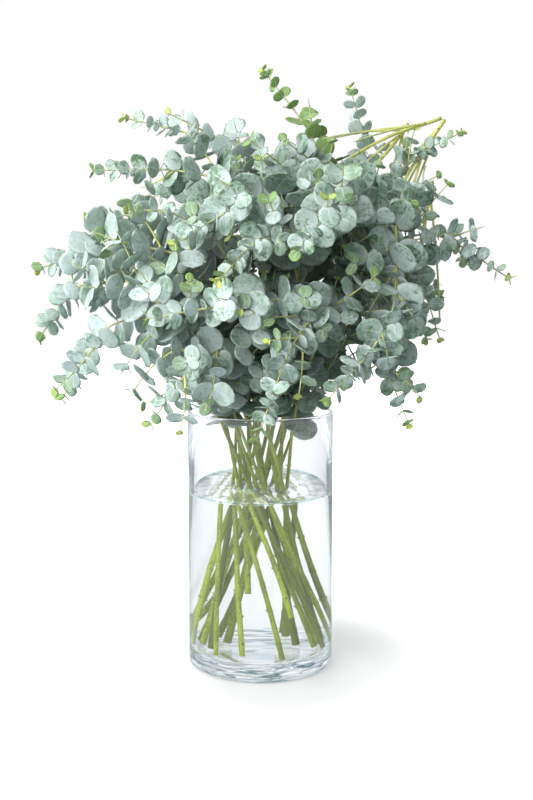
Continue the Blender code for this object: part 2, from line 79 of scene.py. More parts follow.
# The vase and its water
VASE_RADIUS = 60 * MM
VASE_HEIGHT = 212 * MM
WALL = 3 * MM
FLOOR = 15 * MM
RIM_ROUND = 1.4 * MM
FOOT_ROUND = 4 * MM
INNER_ROUND = 5 * MM
WATER_LEVEL = 144.5 * MM
INNER_RADIUS = VASE_RADIUS - WALL

# What two plain solids keep between them
STEM_GAP = 0.55 * MM
LEAF_GAP = 0.35 * MM

# How the stems stand in the vase: foot radius and rim radius of each ring of stems
RINGS = ((49 * MM, 39 * MM), (37 * MM, 28 * MM), (22 * MM, 15 * MM))
SPIRAL_TURN = math.radians(125)
FEET_TO_SIDES = 0.33
FOOT_LIFT = 1.7 * MM

# Stems: TAPER bends the change from the foot's radius to the tip's, and SWELLING is the girth of a joint
STEM_RADIUS = 2.5 * MM
TIP_RADIUS = 0.55 * MM
TAPER = 0.8
SWELLING = 1.25
SPINE_STEP = 4 * MM
# How far the corners of a plain stem's square section are from its middle, in radii, and where tests put them
CORNER_REACH = 1.12
TESTED_REACH = 1.15

# Leaves
LEAF_THICK = 1.1 * MM
LEAST_LEAF = 9.4 * MM
CROWN_CORE = Vector((0, 0, 250)) * MM
# How far a leaf goes from its middle, as a share of its span: a placed one, and a new one with its gap
LEAF_REACH = 0.62
NEW_LEAF_REACH = 0.66
# The fine net of a leaf that is wider than so much: rows of quads along it and columns across
LEAF_GRIDS = ((17 * MM, 9, 8), (8 * MM, 7, 6), (0.0, 5, 4))
# Half the plain outline of a leaf narrower than so much: shares of its length from the root and of its width
OUTLINES = (
    (15 * MM, ((0.5, 0.5),)),
    (27 * MM, ((0.22, 0.46), (0.74, 0.45))),
    (99 * MM, ((0.13, 0.40), (0.50, 0.52), (0.87, 0.30))),
)
# What a crossing leaf tries: turn round the stem, tilt to the stem, both in degrees, and size
LEAF_TRIES = (
    (0, 0, 1.0), (18, 0, 1.0), (-18, 0, 1.0), (0, -18, 1.0), (0, 16, 1.0),
    (30, -10, 0.92), (-30, -10, 0.92), (0, -30, 0.88), (30, 16, 0.82), (-30, 16, 0.82),
    (0, 0, 0.72), (28, -25, 0.68), (-28, -25, 0.68), (0, 20, 0.6),
)


class Tone(Enum):
    """How green a branch's leaves are: shares of (green, pale bloom) mixed into the blue-green."""

    BLUE = (0.0, 0.0)
    SOFT = (0.25, 0.1)
    GREEN = (1.0, 0.0)
    PALE = (0.0, 0.55)
    DUSTY = (0.0, 0.35)


class Part(Enum):
    """The two finishes of a branch, in the order of its material slots."""

    STEM = 0
    LEAF = 1


@dataclass(frozen=True)
class Branch:
    """One cut branch: the points that its stem passes, in mm, its tip last, and its widest leaf in mm.

    ring is the ring of stems that it stands in, 0 the outermost. A branch with no ring lies over the bunch,
    and its route starts at its cut end. bare is the share of the stem above the rim that has no leaves, and
    lift is how far in mm its cut end is above the vase's floor. fullness is the chance of a pair of leaves
    between each two of the frame's, broad how much larger those pairs are near the tip, and airy how long its
    side shoots are, 1 for most.
    """

    name: str
    route: tuple
    leaf: float
    ring: int | None = 0
    bare: float = 0.1
    lift: float = 0.0
    tone: Tone = Tone.BLUE
    fullness: float = 0.6
    broad: float = 0.0
    airy: float = 1.0


BRANCHES = (
    Branch("branch_left_long", ((-17, 20, 425), (-66, 20, 440), (-112, 20, 451)), 22, 1, 0.3,
           tone=Tone.PALE, fullness=0.3),
    Branch("branch_left_upper", ((2, -42, 380), (-56, -40, 402), (-134, -22, 405)), 24, 2, 0.2),
    Branch("branch_left_slim", ((-30, -70, 345), (-62, -88, 368), (-99, -90, 371)), 19, 1, 0.15,
           tone=Tone.SOFT),
    Branch("branch_left_middle", ((-40, -24, 318), (-84, -36, 366), (-134, -44, 368)), 24, 1, 0.15,
           tone=Tone.DUSTY, fullness=0.8, broad=0.4),
    Branch("branch_left_level", ((-48, -76, 330), (-112, -62, 345), (-173, -40, 328)), 28, 0,
           tone=Tone.PALE, fullness=1.0, broad=0.7),
    Branch("branch_left_front", ((-70, -92, 300), (-128, -90, 317), (-165, -80, 277)), 24, 1,
           tone=Tone.DUSTY, fullness=0.8, broad=0.4, airy=1.2),
    Branch("branch_left_low", ((-62, -66, 285), (-109, -92, 287), (-148, -90, 231)), 24, 0, 0.05,
           tone=Tone.DUSTY, fullness=0.7, broad=0.3, airy=1.6),
    Branch("branch_front_left_low", ((-24, -84, 268), (-50, -118, 256), (-80, -112, 215)), 22, 0, 0.03,
           tone=Tone.DUSTY, airy=1.5),
    Branch("branch_front_hanging", ((50, -84, 300), (24, -130, 276), (-2, -151, 210)), 22, 0, 0.03),
    Branch("branch_right_level", ((80, 8, 330), (138, 10, 356), (206, 10, 320)), 20, 0, 0.3),
    Branch("branch_right_upper", ((78, 30, 350), (130, 40, 420), (171, 40, 443)), 18, 1, 0.3, 0, Tone.SOFT),
    Branch("branch_top_pale", ((70, 50, 350), (90, 70, 425), (77, 75, 486)), 22, 1, 0.3, 0, Tone.PALE, 0.0),
    Branch("branch_top_green", ((44, 30, 350), (50, 58, 425), (1, 60, 498)), 21, 2, 0.3, 0, Tone.GREEN, 0.0),
    Branch("branch_front_level", ((24, -84, 300), (-28, -130, 302), (-81, -132, 293)), 25, 0, 0.03, airy=1.3),
    Branch("branch_front_upper", ((28, -72, 350), (0, -130, 348), (-28, -160, 320)), 24, 1, 0.05,
           tone=Tone.SOFT),
    Branch("branch_right_low", ((86, -14, 300), (126, -4, 318), (146, -12, 270)), 21, 0, 0.05),
    Branch("branch_back_right_low", ((70, 60, 300), (126, 92, 308), (154, 118, 262)), 25, 0, fullness=0.9),
    Branch("branch_back_right", ((44, 70, 320), (82, 130, 350), (106, 172, 318)), 25, 1, fullness=0.9),
    Branch("branch_back_upper", ((14, 56, 360), (10, 118, 415), (-4, 168, 410)), 26, 2, 0.2, 48,
           fullness=0.9),
    Branch("branch_back_low", ((4, 78, 280), (-4, 142, 290), (-14, 182, 236)), 25, 0, fullness=0.9),
    Branch("branch_back_left", ((-34, 62, 350), (-68, 112, 400), (-108, 142, 392)), 25, 1, 0.2,
           tone=Tone.SOFT, fullness=0.9),
    Branch("branch_left_back", ((-66, 24, 320), (-126, 44, 356), (-172, 58, 330)), 25, 1, 0.1, 30,
           tone=Tone.DUSTY, fullness=0.9),
    Branch("branch_laid_upper",
           ((157, 80, 458), (91, 58, 430), (50, 4, 402), (9.7, -72.6, 383.6), (-26.3, -122.6, 365.7),
            (-58, -142, 345)),
           27, None, 0.4),
    Branch("branch_laid_middle",
           ((128, 82.8, 455), (106, 54.8, 426), (73, -16, 388), (55, -88, 372), (41, -130, 358),
            (25, -164, 340)),
           28, None, 0.34),
    Branch("branch_laid_right",
           ((158, 67, 455), (124, 38, 408), (108.9, -9.8, 375.9), (104, -59, 332), (94, -93, 288),
            (46, -134, 234)),
           27, None, 0.28),
    Branch("branch_laid_low",
           ((147, 56, 402), (134, 24, 352), (118, -20, 302), (100, -56, 254), (114, -70, 209)),
           22, None, 0.3),
)


@dataclass(frozen=True)
class Twig:
    """A side shoot that the photograph shows apart: its branch, where it leaves it, and its route in mm."""

    branch: str
    share: float
    route: tuple
    leaf: float


TWIGS = (
    Twig("branch_left_low", 0.69, ((-69, -95, 268), (-87, -98, 244)), 19),
    Twig("branch_left_low", 0.75, ((-87, -95, 273), (-103, -100, 250)), 18),
    Twig("branch_front_left_low", 0.81, ((-60, -104, 270), (-82, -104, 254)), 19),
    Twig("branch_front_left_low", 0.86, ((-69, -105, 238), (-90, -103, 228)), 17),
    Twig("branch_front_left_low", 0.66, ((-40, -104, 233), (-62, -106, 224)), 17),
    Twig("branch_left_front", 0.66, ((-86, -104, 292), (-112, -108, 262)), 18),
)


@dataclass(frozen=True)
class LeafDraws:
    """What makes one leaf different from the next."""

    lean: float
    roll: float
    wide: float
    long: float
    cup: float

    @classmethod
    def draw(cls, source: Random) -> LeafDraws:
        """Draws one leaf's differences from a seeded source.

        Args:
            source: the seeded random source of the leaf's branch.

        Returns:
            The leaf's differences.
        """
        return cls(
            lean=source.uniform(-12, 10),
            roll=math.radians(source.uniform(-20, 20)),
            wide=source.uniform(0.92, 1.08),
            long=source.uniform(0.86, 1.02),
            cup=source.uniform(0.05, 0.2),
        )


@dataclass
class Leaf:
    """A leaf on one side of a stem's joint: the corners that it grows from, its directions and its size."""

    low: tuple
    high: tuple
    root: Vector
    along: Vector
    across: Vector
    length: float
    width: float
    cup: float
    age: float = 0.0

    @property
    def upward(self) -> Vector:
        """The direction that the leaf's upper face looks in."""
        return self.across.cross(self.along) * -1

    @property
    def span(self) -> float:
        """The longer of the leaf's length and its width."""
        return max(self.length, self.width)

    def outline(self, grow: float = 0.0) -> list[Vector]:
        """The leaf's plain edge, from its left side at the root round the tip to its right side.

        Args:
            grow: how far the edge is moved out.

        Returns:
            The edge's points.
        """
        length, width = self.length + grow, self.width + 2 * grow
        sides = next(half for limit, half in OUTLINES if self.width < limit)
        flat = [(t, -w) for t, w in sides] + [(1.0, 0.0)] + [(t, w) for t, w in reversed(sides)]
        edge = []
        for t, w in flat:
            level = self.root + self.along * (t * length) + self.across * (w * width)
            edge.append(level + self.upward * (self.cup * w * w * 2))
        return edge

    def middles(self, thick: float) -> tuple[Vector, Vector]:
        """The middle points of the plain upper and lower face.

        Args:
            thick: how far they are apart.

        Returns:
            The upper and the lower point.
        """
        centre = self.root + self.along * (0.48 * self.length) - self.upward * (0.4 * self.cup)
        return centre + self.upward * (thick / 2), centre - self.upward * (thick / 2)

    def centre(self) -> Vector:
        """The middle of the midrib."""
        return self.root + self.along * (self.length / 2)

    def rolled(self, angle: float) -> Leaf:
        """The same leaf turned about its midrib by an angle."""
        return replace(self, across=(Matrix.Rotation(angle, 3, self.along) @ self.across).normalized())

    def tree(self, grow: float = 0.0) -> BVHTree:
        """The leaf's two plain faces as a tree, for crossing tests.

        Args:
            grow: how far its edge is moved out and its faces are apart.

        Returns:
            The tree of faces.
        """
        corners: list[Vector] = []
        faces: list[tuple[int, ...]] = []
        middles = self.middles(LEAF_THICK + 2 * grow)
        for ends, middle, lift in ((self.high, middles[0], grow), (self.low, middles[1], -grow)):
            first = len(corners)
            edge = [p + self.upward * lift for p in self.outline(grow)]
            corners += [middle, ends[0], *edge, ends[1]]
            count = len(edge) + 2
            faces += [(first, first + 1 + i, first + 1 + (i + 1) % count) for i in range(count)]
        return BVHTree.FromPolygons(corners, faces)


@dataclass
class Joint:
    """A place on a stem that carries a pair of leaves, on the sides that are named."""

    place: float
    size: float
    twist: float
    sides: tuple
    leaves: list[Leaf] = field(default_factory=list)


class Stem:
    """A stem along a smooth curve, with its own frame at every sample, its joints and its young tip."""

    def __init__(self, points: list, radius_start: float, radius_end: float) -> None:
        """Measures the curve and carries a frame along it.

        Args:
            points: evenly spaced points from the foot to the tip.
            radius_start: the radius at the foot.
            radius_end: the radius at the tip.
        """
        self.points = [Vector(p) for p in points]
        self.radius_start, self.radius_end = radius_start, radius_end
        self.joints: list[Joint] = []
        self.buds: list[Joint] = []
        self.fresh = 0.0
        self.lengths = [0.0]
        for a, b in zip(self.points, self.points[1:]):
            self.lengths.append(self.lengths[-1] + (b - a).length)
        self.length = self.lengths[-1]
        self.frames = self.carry_frame()

    def carry_frame(self) -> list[tuple[Vector, Vector, Vector]]:
        """A right-handed pair of side directions at each sample, carried along without twist.

        Returns:
            The tangent and the two side directions at each sample.
        """
        frames = []
        side = Vector((1, 0.2, 0))
        for i, _ in enumerate(self.points):
            ahead = self.points[min(i + 1, len(self.points) - 1)]
            behind = self.points[max(i - 1, 0)]
            tangent = (ahead - behind).normalized()
            side = (side - tangent * side.dot(tangent)).normalized()
            frames.append((tangent, side, tangent.cross(side)))
        return frames

    def at(self, place: float) -> tuple[Vector, Vector, Vector, Vector]:
        """Position and frame at a distance along the stem.

        Args:
            place: the distance from the foot.

        Returns:
            The position, the tangent and the two side directions.
        """
        place = min(max(place, 0.0), self.length)
        i = int(np.searchsorted(self.lengths, place, side="right")) - 1
        i = min(i, len(self.points) - 2)
        share = (place - self.lengths[i]) / (self.lengths[i + 1] - self.lengths[i])
        spot = self.points[i].lerp(self.points[i + 1], share)
        near, far = self.frames[i], self.frames[i + 1]
        tangent = near[0].lerp(far[0], share).normalized()
        side = near[1].lerp(far[1], share)
        side = (side - tangent * side.dot(tangent)).normalized()
        return spot, tangent, side, tangent.cross(side)

    def radius(self, place: float) -> float:
        """The plain radius at a distance along the stem.

        Args:
            place: the distance from the foot.

        Returns:
            The radius.
        """
        share = place / self.length
        return self.radius_start + (self.radius_end - self.radius_start) * share**TAPER

    def ring(self, place: float, twist: float, swell: float = 1.0) -> list[Vector]:
        """The four corners of the plain stem's section, with side j between corners j and j + 1.

        Args:
            place: the distance from the foot.
            twist: how far the section is turned.
            swell: how many times its usual size it is.

        Returns:
            The four corners.
        """
        spot, _, side, other = self.at(place)
        reach = self.radius(place) * swell * CORNER_REACH
        angles = [twist + math.radians(90 * j - 45) for j in range(4)]
        return [spot + (side * math.cos(a) + other * math.sin(a)) * reach for a in angles]

    def joint_rings(self, joint: Joint) -> list[list[Vector]]:
        """The two rings between which a pair of plain leaves grows.

        Args:
            joint: the leaves' joint.

        Returns:
            The lower and the upper ring.
        """
        half = min(0.45 * self.radius(joint.place) + 0.5 * MM, 0.2 * joint.size)
        return [self.ring(joint.place + step, joint.twist, SWELLING) for step in (-half, half)]

    def tree(self, grow: float, first: float = 0.0) -> BVHTree:
        """A tree of faces round the stem, for crossing tests.

        Args:
            grow: how far outside the stem the faces are.
            first: the distance from the foot where they start.

        Returns:
            The tree of faces.
        """
        steps = max(2, int((self.length - first) / (6 * MM)))
        corners, faces = [], []
        for k in range(steps + 1):
            place = first + (self.length - first) * k / steps
            spot, _, side, other = self.at(place)
            reach = self.radius(place) * SWELLING * TESTED_REACH + grow
            for j in range(4):
                a = math.radians(90 * j - 45)
                corners.append(spot + (side * math.cos(a) + other * math.sin(a)) * reach)
        for k in range(steps):
            for j in range(4):
                a, b = 4 * k + j, 4 * k + (j + 1) % 4
                faces.append((a, b, b + 4, a + 4))
        return BVHTree.FromPolygons(corners, faces)

    def add_joints(self, first: float, widest: float, draw: Random, least: float = LEAST_LEAF) -> None:
        """Puts joints from a place to the tip, closer together as the leaves get smaller.

        Args:
            first: the distance from the foot of the lowest joint.
            widest: the widest leaf.
            draw: the seeded source of the stem's differences.
            least: a leaf narrower than this is a bud of the young tip.
        """
        place, count = first, 0
        while place < self.length - 1.5 * MM:
            share = (place - first) / (self.length - first)
            size = leaf_size(share, widest) * draw.uniform(0.88, 1.1)
            twist = math.radians(draw.uniform(-14, 14))
            sides = (0, 2) if count % 2 == 0 else (1, 3)
            kept = self.joints if size > least else self.buds
            kept.append(Joint(place, size, twist, sides))
            place += size * draw.uniform(0.66, 0.84) + 2 * MM
            count += 1

    def leaf(self, joint: Joint, side: int, draws: LeafDraws, turn: float, tilt: float, scale: float) -> Leaf:
        """The leaf on one side of a joint.

        Args:
            joint: the joint that it grows from.
            side: the side of the stem.
            draws: what makes it different from the next leaf.
            turn: degrees that it is turned round the stem.
            tilt: degrees that it is tilted away from the stem's tip.
            scale: how many times its usual size it is.

        Returns:
            The leaf.
        """
        spot, tangent, first, second = self.at(joint.place)
        angle = joint.twist + math.radians(90 * side + turn)
        outward = first * math.cos(angle) + second * math.sin(angle)
        share = joint.place / self.length
        lean = math.radians(80 - 26 * share**3 + draws.lean + tilt)
        along = tangent * math.cos(lean) + outward * math.sin(lean)
        across = tangent.cross(outward)
        roll = Matrix.Rotation(draws.roll, 3, along)
        width = joint.size * scale * draws.wide
        low, high = self.joint_rings(joint)
        return Leaf(
            low=(low[side], low[(side + 1) % 4]),
            high=(high[side], high[(side + 1) % 4]),
            root=spot + outward * self.radius(joint.place) * SWELLING,
            along=along.normalized(),
            across=(roll @ across).normalized(),
            length=joint.size * scale * draws.long,
            width=width,
            cup=width * draws.cup,
        )


# Curves


def smooth_route(points: list, step: float = SPINE_STEP) -> np.ndarray:
    """Evenly spaced points on a centripetal Catmull-Rom curve through a route.

    Args:
        points: the route's points.
        step: about how far apart the curve's points are.

    Returns:
        The points, one a row.
    """
    points = [Vector(p) for p in points]
    ends = [points[0] * 2 - points[1], *points, points[-1] * 2 - points[-2]]
    fine = []
    for p0, p1, p2, p3 in zip(ends, ends[1:], ends[2:], ends[3:]):
        t0 = 0.0
        t1 = t0 + math.sqrt((p1 - p0).length)
        t2 = t1 + math.sqrt((p2 - p1).length)
        t3 = t2 + math.sqrt((p3 - p2).length)
        for k in range(24):
            t = t1 + (t2 - t1) * k / 24
            a1 = p0.lerp(p1, (t - t0) / (t1 - t0))
            a2 = p1.lerp(p2, (t - t1) / (t2 - t1))
            a3 = p2.lerp(p3, (t - t2) / (t3 - t2))
            b1 = a1.lerp(a2, (t - t0) / (t2 - t0))
            b2 = a2.lerp(a3, (t - t1) / (t3 - t1))
            fine.append(b1.lerp(b2, (t - t1) / (t2 - t1)))
    fine.append(points[-1])
    return evenly(fine, step)


def evenly(points: list | np.ndarray, step: float) -> np.ndarray:
    """The same line with its points one step apart.

    Args:
        points: the line's points.
        step: about how far apart the new points are.

    Returns:
        The new points, one a row.
    """
    line = np.array([tuple(p) for p in points])
    along = np.concatenate([[0], np.cumsum(np.linalg.norm(np.diff(line, axis=0), axis=1))])
    count = max(4, round(along[-1] / step))
    places = np.linspace(0, along[-1], count + 1)
    return np.stack([np.interp(places, along, line[:, k]) for k in range(3)], axis=1)


def polar(radius: float, angle: float, height: float) -> Vector:
    """A point at a radius, an angle and a height about the vase's axis."""
    return Vector((radius * math.cos(angle), radius * math.sin(angle), height))


def leaf_size(share: float, widest: float) -> float:
    """A leaf's width at a share of the leafy length: full in the middle, small at the tip.

    Args:
        share: 0 at the lowest joint and 1 at the tip.
        widest: the widest leaf.

    Returns:
        The width.
    """
    if share < 0.45:
        return widest * (0.84 + 0.16 * share / 0.45)
    return widest * (1 - 0.72 * ((share - 0.45) / 0.55) ** 1.5)


# The layout of the bunch


class Spiral:
    """Where the standing stems are in the vase, and how all stems are bent clear of each other."""

    def starts(self) -> dict[str, list[Vector]]:
        """Where each standing branch has its foot, its crossing point and its place at the rim.

        The stems of a ring are spaced evenly at the rim in the order in which they leave the bunch, and each
        foot is the same turn further round, drawn a little towards the vase's left and right.

        Returns:
            Four points for each standing branch, by its name.
        """
        starts = {}
        for ring, (foot_radius, rim_radius) in enumerate(RINGS):
            members = [b for b in BRANCHES if b.ring == ring]
            members.sort(key=lambda b: math.atan2(b.route[0][1], b.route[0][0]))
            own = [math.atan2(b.route[0][1], b.route[0][0]) for b in members]
            even = [2 * math.pi * k / len(members) for k in range(len(members))]
            off = [a - e for a, e in zip(own, even)]
            shift = math.atan2(sum(math.sin(a) for a in off), sum(math.cos(a) for a in off))
            for branch, angle in zip(members, even):
                at_rim = angle + shift
                at_foot = at_rim + SPIRAL_TURN
                at_foot -= FEET_TO_SIDES * math.sin(2 * at_foot)
                foot = polar(foot_radius, at_foot, FLOOR + FOOT_LIFT + branch.lift * MM)
                rim = polar(rim_radius, at_rim, VASE_HEIGHT + 4 * MM)
                starts[branch.name] = [foot, foot.lerp(rim, 0.35), foot.lerp(rim, 0.7), rim]
        return starts

    def lines(self) -> list[np.ndarray]:
        """Each branch's stem as evenly spaced points, clear of the others and of the glass.

        Returns:
            The lines in the order of the branches.
        """
        starts = self.starts()
        lines, radii = [], []
        for branch in BRANCHES:
            route = [Vector(p) * MM for p in branch.route]
            lines.append(smooth_route([*starts.get(branch.name, []), *route]))
            share = np.linspace(0, 1, len(lines[-1]))
            radii.append(STEM_RADIUS + (TIP_RADIUS - STEM_RADIUS) * share**TAPER)
        self.bend_clear(lines, radii)
        return [evenly(line, SPINE_STEP) for line in lines]

    def bend_clear(self, lines: list[np.ndarray], radii: list[np.ndarray], rounds: int = 160) -> None:
        """Bends stems that touch apart, each by half of what is missing, and keeps them inside the glass.

        Args:
            lines: the stems, which are changed in place.
            radii: their radii at the same points.
            rounds: the most times that all pairs are looked at.
        """
        for _ in range(rounds):
            worst = 0.0
            for k, a in enumerate(lines):
                for m in range(k + 1, len(lines)):
                    i, j, between = self.nearest_places(a, lines[m])
                    wanted = (radii[k][i] + radii[m][j]) * SWELLING * CORNER_REACH + STEM_GAP
                    missing = wanted - np.linalg.norm(between)
                    if missing > 0:
                        worst = max(worst, missing)
                        push = between / (np.linalg.norm(between) + 1e-9) * (missing / 2 + 0.02 * MM)
                        self.bow(a, i, -push)
                        self.bow(lines[m], j, push)
            for line, radius in zip(lines, radii):
                self.stay_in_vase(line, radius)
            if worst < 0.05 * MM:
                return

    def nearest_places(self, a: np.ndarray, b: np.ndarray) -> tuple[int, int, np.ndarray]:
        """The places on two lines that lie nearest each other.

        Args:
            a: one line.
            b: the other line.

        Returns:
            The index on a, the index on b, and b's point minus a's point.
        """
        apart = np.linalg.norm(a[:, None] - b[None], axis=2)
        i, j = np.unravel_index(apart.argmin(), apart.shape)
        fine_a = self.refined(a, i)
        fine_b = self.refined(b, j)
        between = np.linalg.norm(fine_a[:, None] - fine_b[None], axis=2)
        m, n = np.unravel_index(between.argmin(), between.shape)
        return i, j, fine_b[n] - fine_a[m]

    def refined(self, line: np.ndarray, i: int) -> np.ndarray:
        """The line's points from just before point i to just after it, ten times as close."""
        near = line[max(i - 1, 0) : i + 2]
        places = np.linspace(0, len(near) - 1, 10 * (len(near) - 1) + 1)
        return np.stack([np.interp(places, range(len(near)), near[:, k]) for k in range(3)], axis=1)

    def bow(self, line: np.ndarray, i: int, push: np.ndarray, reach: float = 30 * MM) -> None:
        """Moves a line by push at point i, and smoothly less to both sides.

        Args:
            line: the line, which is changed in place.
            i: the point that moves furthest.
            push: how far it moves.
            reach: how far along the line the others follow.
        """
        places = np.arange(len(line)) * SPINE_STEP
        line += np.exp(-(((places - places[i]) / reach) ** 2))[:, None] * push

    def stay_in_vase(self, line: np.ndarray, radius: np.ndarray) -> None:
        """Keeps the stretch of a stem that is inside the vase off its wall and floor.

        Args:
            line: the stem, which is changed in place.
            radius: its radius at the same points.
        """
        for i, (x, y, z) in enumerate(line):
            if z > VASE_HEIGHT + 3 * MM:
                break
            room = INNER_RADIUS - radius[i] * SWELLING * CORNER_REACH - STEM_GAP
            out = math.hypot(x, y)
            if out > room:
                self.bow(line, i, np.array([-x, -y, 0]) / out * (out - room), 20 * MM)
            line[i, 2] = max(z, FLOOR + FOOT_LIFT)


class Crowd:
    """Everything placed so far, so that a new leaf or shoot can be tested against what is near it."""

    def __init__(self) -> None:
        """Starts with nothing placed."""
        self.stems: list[tuple[object, BVHTree, Vector, float]] = []
        self.leaves: list[tuple[Leaf, Joint, Stem]] = []
        self.spots = np.zeros((8000, 3))
        self.reaches = np.zeros(8000)
        self.trees: list[BVHTree] = []

    def add_stem(self, stem: Stem, first: float = 0.0) -> None:
        """Adds a stem from a distance along it."""
        middle = (stem.points[0] + stem.points[-1]) / 2
        reach = max((p - middle).length for p in stem.points) + 5 * MM
        self.stems.append((stem, stem.tree(LEAF_GAP, first), middle, reach))

    def add_solid(self, corners: list[Vector], faces: list[tuple[int, ...]]) -> None:
        """Adds faces that nothing may meet."""
        self.stems.append((None, BVHTree.FromPolygons(corners, faces), Vector(), 1.0))

    def add_leaf(self, leaf: Leaf, joint: Joint, stem: Stem) -> None:
        """Adds a leaf with the joint and the stem that carry it."""
        self.spots[len(self.leaves)] = leaf.centre()
        self.reaches[len(self.leaves)] = LEAF_REACH * leaf.span
        self.leaves.append((leaf, joint, stem))
        self.trees.append(leaf.tree())

    def crosses(self, tree: BVHTree, centre: Vector, reach: float, owner: Stem | None, but: int = -1) -> bool:
        """Whether a tree of faces meets a stem other than its owner, or a placed leaf.

        Args:
            tree: the faces.
            centre: their middle.
            reach: how far they go from it.
            owner: the stem that they may meet.
            but: the number of a leaf that they may meet.

        Returns:
            True if they meet something.
        """
        for other, stem_tree, middle, far in self.stems:
            if other is not owner and (middle - centre).length < far + reach and tree.overlap(stem_tree):
                return True
        count = len(self.leaves)
        apart = np.linalg.norm(self.spots[:count] - np.array(centre), axis=1)
        for i in np.flatnonzero(apart < self.reaches[:count] + reach):
            if i != but and tree.overlap(self.trees[i]):
                return True
        return False


@dataclass
class PlannedBranch:
    """A branch's stem, its side shoots and all that grows on them."""

    branch: Branch
    stem: Stem
    leafy_from: float
    shoots: list[Stem] = field(default_factory=list)


